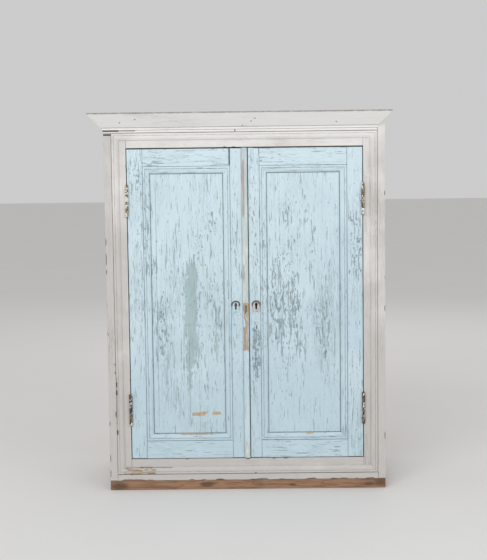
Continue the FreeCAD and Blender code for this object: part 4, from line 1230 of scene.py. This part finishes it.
class PANTRY_OT_doors(bpy.types.Operator):
    """Make both doors: stiles, rails, panels, panel mouldings and the meeting bead"""

    bl_idname = "pantry.doors"
    bl_label = "Doors"

    def execute(self, context):
        tree = moulding_tree()
        for side, panel_finish in (("left", self.left_panel()), ("right", self.right_panel())):
            # A near-black line along each door's top: painted shade of the gap above it.
            gap = self.gap(side)
            for part, (crazed, dark) in self.stiles(side).items():
                node = f"{side}_door_{part}"
                coat = finish("blue_" + node, blue_paint, Z, crazed=crazed, dark=gap + dark)
                board(node, Z, "blue_paint", [coat, inner_pine(Z)], bare=("back",))
            for part, crazed in self.rails(side).items():
                node = f"{side}_door_{part}"
                joint = spots(node, (0.984, 1.01, 0.04, 1.0, 0.8)) if node == "left_door_top_rail" else []
                coat = finish("blue_" + node, blue_paint, X, crazed=crazed, dark=gap + joint)
                board(node, X, "blue_paint", [coat, inner_pine(X)], bare=("back",), chips=0.7)
            board(f"{side}_door_panel", Z, "blue_paint", [panel_finish, inner_pine(Z)], bare=("back",),
                  cracks=self.panel_cracks(side))
            ring(tree, f"{side}_door_moulding", self.moulding_finishes(side),
                 (0.75, 1.0, 0.85))
        self.keyhole()
        self.bead(tree)
        return {"FINISHED"}

    def gap(self, side):
        """The black gap along the top of a door, which closes beside the bead, as painted shade on the tops
        of its rail and stiles.
        """
        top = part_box(f"{side}_door_top_rail")[1].z
        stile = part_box(f"{side}_door_meeting_stile")
        if side == "left":
            start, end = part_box("left_door_hinge_stile")[0].x, stile[1].x
        else:
            start, end = (stile[0].x + stile[1].x) / 2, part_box("right_door_hinge_stile")[1].x
        return [((start, end, top - 0.0017, top + 0.002), 1.0)]

    def moulding_finishes(self, side):
        """The four finishes of a door's panel mouldings."""
        foot, left = f"{side}_door_moulding_bottom", f"{side}_door_moulding_left"
        if side == "left":
            bare = spots(foot, (0.38, 0.78, 0.80, 1.05, 0.008, 0.80))
            crazed = spots(left, (-0.2, 1.2, 0.62, 1.1, 0.012, 0.7))
        else:
            bare = spots(foot, (0.50, 0.62, 0.80, 1.05, 0.008, 0.75))
            crazed = spots(left, (-0.2, 1.2, 0.30, 0.8, 0.012, 0.5))
        return {
            "top": finish("blue_moulding_top", blue_paint, X),
            "bottom": finish(f"blue_{side}_moulding_bottom", blue_paint, X, bare=bare),
            "left": finish(f"blue_{side}_moulding_left", blue_paint, Z, crazed=crazed),
            "right": finish("blue_moulding_right", blue_paint, Z),
        }

    def stiles(self, side):
        """The stiles of one door, each with its most marked areas and its open lines."""
        hinge, meeting = f"{side}_door_hinge_stile", f"{side}_door_meeting_stile"
        if side == "left":
            # The left keyhole is painted near black on the stile behind its plate: painted shade.
            low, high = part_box("left_keyhole_plate")
            middle, half = (low.x + high.x) / 2, 0.004
            hole = (middle - half, middle + half, low.z + 0.006, low.z + 0.028)
            return {
                "hinge_stile": (spots(hinge, (0.15, 1.2, 0.80, 1.00, 0.012, 0.75),
                                      (0.55, 1.2, 0.40, 0.85, 0.012, 0.40)),
                                spots(hinge, (-0.05, 0.045, 0.112, 0.180, 1.0),
                                      (-0.05, 0.045, 0.184, 0.192, 1.0))),
                "meeting_stile": (spots(meeting, (-0.1, 0.5, 0.55, 0.85, 0.015, 0.45),
                                        (-0.1, 0.6, 0.24, 0.52, 0.012, 0.40)),
                                  spots(meeting, (-0.1, 0.016, 0.945, 1.0, 0.9)) + [(hole, 1.0)]),
            }
        return {
            "meeting_stile": (spots(meeting, (0.1, 0.9, 0.235, 0.415, 0.006, 1.35),
                                    (0.0, 1.0, 0.60, 0.98, 0.012, 0.45)),
                              spots(meeting, (0.60, 0.68, 0.420, 0.432, 1.0))),
            "hinge_stile": (spots(hinge, (0.05, 0.95, 0.58, 0.80, 0.008, 0.95),
                                  (0.1, 0.7, 0.38, 0.50, 0.010, 0.50),
                                  (0.1, 0.9, 0.15, 0.35, 0.010, 0.30)), []),
        }

    def rails(self, side):
        """The rails of one door, with their most marked areas."""
        top, bottom = f"{side}_door_top_rail", f"{side}_door_bottom_rail"
        if side == "left":
            upper = spots(top, (-0.1, 0.26, -0.2, 0.95, 0.016, 0.85), (0.2, 0.95, 0.1, 0.75, 0.012, 0.25))
        else:
            upper = spots(top, (0.0, 0.6, 0.0, 0.8, 0.015, 0.30))
        return {"top_rail": upper, "bottom_rail": spots(bottom, (0.0, 1.0, 0.6, 1.2, 0.015, 0.15))}

    def shown(self, side):
        """The rectangle of a panel that shows inside its mouldings."""
        left, right = (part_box(f"{side}_door_moulding_{name}") for name in ("left", "right"))
        bottom, top = (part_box(f"{side}_door_moulding_{name}") for name in ("bottom", "top"))
        return left[1].x, right[0].x, bottom[1].z, top[0].z

    def left_panel(self):
        """A long worn streak left of the middle, marks beside it and two bare spots low down."""
        node = "left_door_panel"
        worn = spots(node, (0.450, 0.600, 0.370, 0.585, 0.008, 1.00),
                     (0.455, 0.625, 0.540, 0.668, 0.012, 0.74),
                     (0.470, 0.625, 0.285, 0.385, 0.008, 0.90),
                     (0.475, 0.535, 0.170, 0.300, 0.006, 0.70),
                     (0.775, 0.850, 0.290, 0.430, 0.008, 0.55),
                     (0.560, 0.690, 0.620, 0.760, 0.012, 0.42))
        bare = spots(node, (0.525, 0.665, 0.097, 0.108, 0.003, 1.0),
                     (0.600, 0.699, 0.104, 0.112, 0.003, 0.8),
                     (0.748, 0.843, 0.100, 0.111, 0.003, 0.95))
        crazed = spots(node, (0.160, 0.300, 0.300, 0.560, 0.010, 0.80),
                       (0.266, 0.400, 0.560, 0.665, 0.012, 0.60),
                       (0.729, 0.812, 0.765, 0.856, 0.006, 0.75),
                       (0.551, 0.703, 0.660, 0.785, 0.012, 0.70),
                       (0.700, 0.880, 0.320, 0.600, 0.015, 0.60),
                       (0.430, 0.660, 0.240, 0.680, 0.014, 0.60),
                       (0.120, 0.880, 0.480, 0.720, 0.040, 0.30))
        return finish("blue_left_panel", blue_paint, Z, worn=worn, bare=bare, crazed=crazed,
                      border=self.shown("left"))

    def right_panel(self):
        """A wide field of marks down the left half, densest in its middle."""
        node = "right_door_panel"
        worn = spots(node, (0.22, 0.40, 0.42, 0.62, 0.020, 0.36))
        crazed = spots(node, (0.12, 0.47, 0.360, 0.660, 0.018, 1.05),
                       (0.14, 0.51, 0.310, 0.500, 0.018, 0.85),
                       (0.27, 0.42, 0.640, 0.760, 0.012, 0.60),
                       (0.258, 0.395, 0.768, 0.836, 0.008, 0.80),
                       (0.501, 0.569, 0.784, 0.829, 0.006, 0.75),
                       (0.53, 0.62, 0.560, 0.760, 0.010, 0.45),
                       (0.62, 0.79, 0.300, 0.510, 0.012, 0.75),
                       (0.24, 0.35, 0.190, 0.320, 0.010, 0.60))
        bare = spots(node, (0.893, 0.910, 0.500, 0.545, 0.001, 0.55))
        return finish("blue_right_panel", blue_paint, Z, worn=worn, bare=bare, crazed=crazed,
                      border=self.shown("right"))

    def panel_cracks(self, side):
        """Open joints and shakes in a panel: across and along it as shares, then width and depth."""
        rows = {
            "left": ((0.160, (0.05, 0.95), 0.0015, 0.0012), (0.507, (0.063, 0.372), 0.0010, 0.0012)),
            "right": ((0.4426, (0.093, 0.164), 0.0014, 0.0015), (0.735, (0.30, 0.62), 0.0008, 0.0007)),
        }
        return [{"side": "front", "across": across_, "along": along, "width": width, "depth": depth}
                for across_, along, width, depth in rows[side]]

    def keyhole(self):
        """Cut the keyhole through the right door's meeting stile, as high as its plate says."""
        stile = bpy.data.objects["right_door_meeting_stile_worn"]
        low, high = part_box("right_keyhole_plate")
        radius, slot, drop, head_height, past = 0.004, 0.005, 0.015, 0.022, 0.002
        start, sweep, steps = -51, 282, 20
        centre = Vector(((low.x + high.x) / 2, 0, low.z + head_height))
        turns = [math.radians(start + sweep * step / steps) for step in range(steps + 1)]
        outline = [(radius * math.cos(turn), radius * math.sin(turn)) for turn in turns]
        outline += [(-slot / 2, -drop), (slot / 2, -drop)]
        front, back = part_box("right_door_meeting_stile")
        bm = bmesh.new()
        loops = [[bm.verts.new((centre.x + east, y, centre.z + up)) for east, up in outline]
                 for y in (front.y - past, back.y + past)]
        for n in range(len(outline)):
            after = (n + 1) % len(outline)
            bm.faces.new((loops[0][n], loops[0][after], loops[1][after], loops[1][n]))
        bm.faces.new(loops[0])
        bm.faces.new(loops[1][::-1])
        bmesh.ops.recalc_face_normals(bm, faces=bm.faces)
        cutter = bpy.data.objects.new("keyhole_cutter", as_mesh("keyhole_cutter", bm))
        bpy.context.scene.collection.objects.link(cutter)
        cut = stile.modifiers.new("keyhole", "BOOLEAN")
        cut.object, cut.operation, cut.solver = cutter, "DIFFERENCE", "EXACT"
        bpy.context.view_layer.update()
        evaluated = stile.evaluated_get(bpy.context.evaluated_depsgraph_get())
        bored = bpy.data.meshes.new_from_object(evaluated)
        stile.modifiers.remove(cut)
        stile.data = bored
        bpy.data.objects.remove(cutter)

    def bead(self, tree):
        """The rounded bead planted on the left door's meeting edge."""
        low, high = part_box("meeting_bead")
        width, height = high.x - low.x, high.y - low.y
        shoulder = 0.0025
        section = [(0.0, 0.0), (width, 0.0), (width, shoulder)]
        section += arc(section[-1], (0.0, shoulder), -self.bow(width, height - shoulder), 9)
        at = Vector((low.x, high.y, (low.z + high.z) / 2))
        coat = finish("bead_paint", bead_finish)
        # Both long edges of the bead are darkened: painted shade beside it.
        mesh = moulding_mesh(tree, "meeting_bead_worn", section, high.z - low.z, at, (1, 0, 0), (0, -1, 0),
                             (0, 0), coat, dirt_and_shade=(1.0, 1.0, 0.0))
        piece("meeting_bead_worn", mesh, "meeting_bead", [coat], ("meeting_bead",))

    def bow(self, chord, rise):
        """Radius of the arc that rises so far over a chord."""
        return (chord * chord / 4 + rise * rise) / (2 * rise)


class PANTRY_OT_hardware(bpy.types.Operator):
    """Ease and finish the hinges, keyhole plates, screws, lock and bolts"""

    bl_idname = "pantry.hardware"
    bl_label = "Hinges, lock and bolts"

    def execute(self, context):
        c = context.scene.pantry_colours
        white = finish("hinge_paint", painted_metal, c.cream_pale, 0.48, c.brass, c.bronze, low_less=0.10)
        bronze = finish("hinge_bronze", painted_metal, c.cream, 0.40, c.brass, c.bronze)
        for node, coat in (("frame_hinge_leaves", white), ("left_door_hinge_leaves", white),
                           ("right_door_hinge_leaves", bronze), ("hinge_pins", bronze)):
            refined(node, coat, 0.00030)
        for side, paint in (("left", c.blue), ("right", c.cream)):
            node = side + "_keyhole_plate"
            coat = finish("plate_" + side, painted_metal, paint, 0.56, c.brass, c.bronze, arch=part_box(node))
            refined(node, coat, 0.00035)
        iron = finish("old_iron", old_iron)
        for node in ("frame_screws", "left_door_screws", "right_door_screws"):
            refined(node, iron, 0.00010)
        for node in ("top_bolt", "bottom_bolt", "bolt_plates", "bolt_keepers", "lock_case", "lock_latch"):
            refined(node, iron, 0.00035)
        return {"FINISHED"}


class PANTRY_OT_nails(bpy.types.Operator):
    """Nail the back boards and the base"""

    bl_idname = "pantry.nails"
    bl_label = "Nails"

    def execute(self, context):
        tree = fastener_tree()
        size = context.scene.pantry_cornice.nail
        head = turned("nail_head", [(size, -0.0004), (size, 0.0), (size * 0.75, 0.0003)])
        iron = finish("old_iron", old_iron)
        chance = random.Random(context_seed() + 3)
        levels = (0.017, 0.285, 0.607, 0.965)
        sunk = 0.00032
        places = []
        for low, high in solids("back_boards"):
            for level in levels:
                for share in (0.18, 0.82):
                    spot = Vector((low.x + (high.x - low.x) * (share + chance.uniform(-0.03, 0.03)),
                                   high.y - sunk,
                                   low.z + (high.z - low.z) * level + chance.uniform(-0.003, 0.003)))
                    places.append((spot, Vector((0, 1, 0))))
        fasteners(tree, "back_nails", head, places, "back_boards", iron)
        low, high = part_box("base_front")
        places = [(Vector((low.x + (high.x - low.x) * share, low.y + 0.0002,
                           (low.z + high.z) / 2 + chance.uniform(-0.005, 0.005))), Vector((0, -1, 0)))
                  for share in (0.03, 0.26, 0.52, 0.77, 0.97)]
        fasteners(tree, "base_nails", head, places, "base_front", iron)
        bpy.data.objects.remove(head)
        return {"FINISHED"}


class PANTRY_OT_stage(bpy.types.Operator):
    """Set the floor, the lights and the camera"""

    bl_idname = "pantry.stage"
    bl_label = "Stage"

    def execute(self, context):
        s = context.scene.pantry_stage
        half = 30.0
        mesh = bpy.data.meshes.new("studio_floor")
        mesh.from_pydata([(-half, -half, 0), (half, -half, 0), (half, half, 0), (-half, half, 0)], [],
                         [(0, 1, 2, 3)])
        mesh.materials.append(pale_floor())
        floor = bpy.data.objects.new("studio_floor", mesh)
        context.scene.collection.objects.link(floor)
        world = bpy.data.worlds.new("surround")
        world.use_nodes = True
        background = world.node_tree.nodes["Background"]
        background.inputs["Color"].default_value = opaque(s.sky)
        background.inputs["Strength"].default_value = s.sky_strength
        context.scene.world = world
        for lamp in (("key", s.key, (-1.5, -4.0, 3.2), 2.6), ("fill", s.fill, (2.4, -3.4, 2.0), 2.4),
                     ("behind", s.fill * 0.6, (0.6, 3.4, 2.8), 2.4)):
            self.light(context, *lamp)
        data = bpy.data.cameras.new("camera")
        data.sensor_fit, data.sensor_width, data.lens = "HORIZONTAL", 36.0, s.lens
        data.clip_end = 100.0
        camera = bpy.data.objects.new("camera", data)
        pitch, roll, yaw = s.tilt
        turn = Matrix.Rotation(yaw, 4, "Z") @ Matrix.Rotation(pitch, 4, "X") @ Matrix.Rotation(roll, 4, "Z")
        camera.matrix_world = Matrix.Translation(Vector(s.camera)) @ turn
        context.scene.collection.objects.link(camera)
        context.scene.camera = camera
        context.scene.view_settings.view_transform = "Standard"
        return {"FINISHED"}

    def light(self, context, name, power, place, size):
        """A soft square light aimed at the middle of the cabinet."""
        data = bpy.data.lights.new(name, "AREA")
        data.energy, data.size = power, size
        lamp = bpy.data.objects.new(name, data)
        middle = Vector((0, 0, (CAD_BOX[0][2] + CAD_BOX[1][2]) / 2))
        lamp.rotation_euler = (middle - Vector(place)).to_track_quat("-Z", "Y").to_euler()
        lamp.location = place
        context.scene.collection.objects.link(lamp)


class PANTRY_PT_panel(bpy.types.Panel):
    """Lists what builds the cabinet."""

    bl_idname = "PANTRY_PT_panel"
    bl_label = "Pantry Cabinet"
    bl_space_type = "VIEW_3D"
    bl_region_type = "UI"
    bl_category = "Cabinet"

    def draw(self, context):
        for operator in OPERATORS:
            self.layout.operator(operator.bl_idname)
        for name in GROUPS:
            box = self.layout.box()
            settings = getattr(context.scene, name)
            for key in settings.__annotations__:
                box.prop(settings, key)


GROUPS = {
    "pantry_boards": PANTRY_PG_boards,
    "pantry_mouldings": PANTRY_PG_mouldings,
    "pantry_cornice": PANTRY_PG_cornice,
    "pantry_colours": PANTRY_PG_colours,
    "pantry_stage": PANTRY_PG_stage,
    "pantry_chance": PANTRY_PG_chance,
}
OPERATORS = (PANTRY_OT_carcass, PANTRY_OT_fittings_inside, PANTRY_OT_face_frame, PANTRY_OT_cornice,
             PANTRY_OT_doors, PANTRY_OT_hardware, PANTRY_OT_nails, PANTRY_OT_stage)


def register():
    for made in (*GROUPS.values(), *OPERATORS, PANTRY_PT_panel):
        bpy.utils.register_class(made)
    for name, group in GROUPS.items():
        setattr(bpy.types.Scene, name, PointerProperty(type=group))


def unregister():
    for name in GROUPS:
        delattr(bpy.types.Scene, name)
    for made in (PANTRY_PT_panel, *reversed(OPERATORS), *reversed(list(GROUPS.values()))):
        bpy.utils.unregister_class(made)


def main():
    register()
    bpy.ops.pantry.carcass()
    bpy.ops.pantry.inside()
    bpy.ops.pantry.face_frame()
    bpy.ops.pantry.cornice()
    bpy.ops.pantry.doors()
    bpy.ops.pantry.hardware()
    bpy.ops.pantry.nails()
    bpy.ops.pantry.stage()


if __name__ == "__main__":
    main()
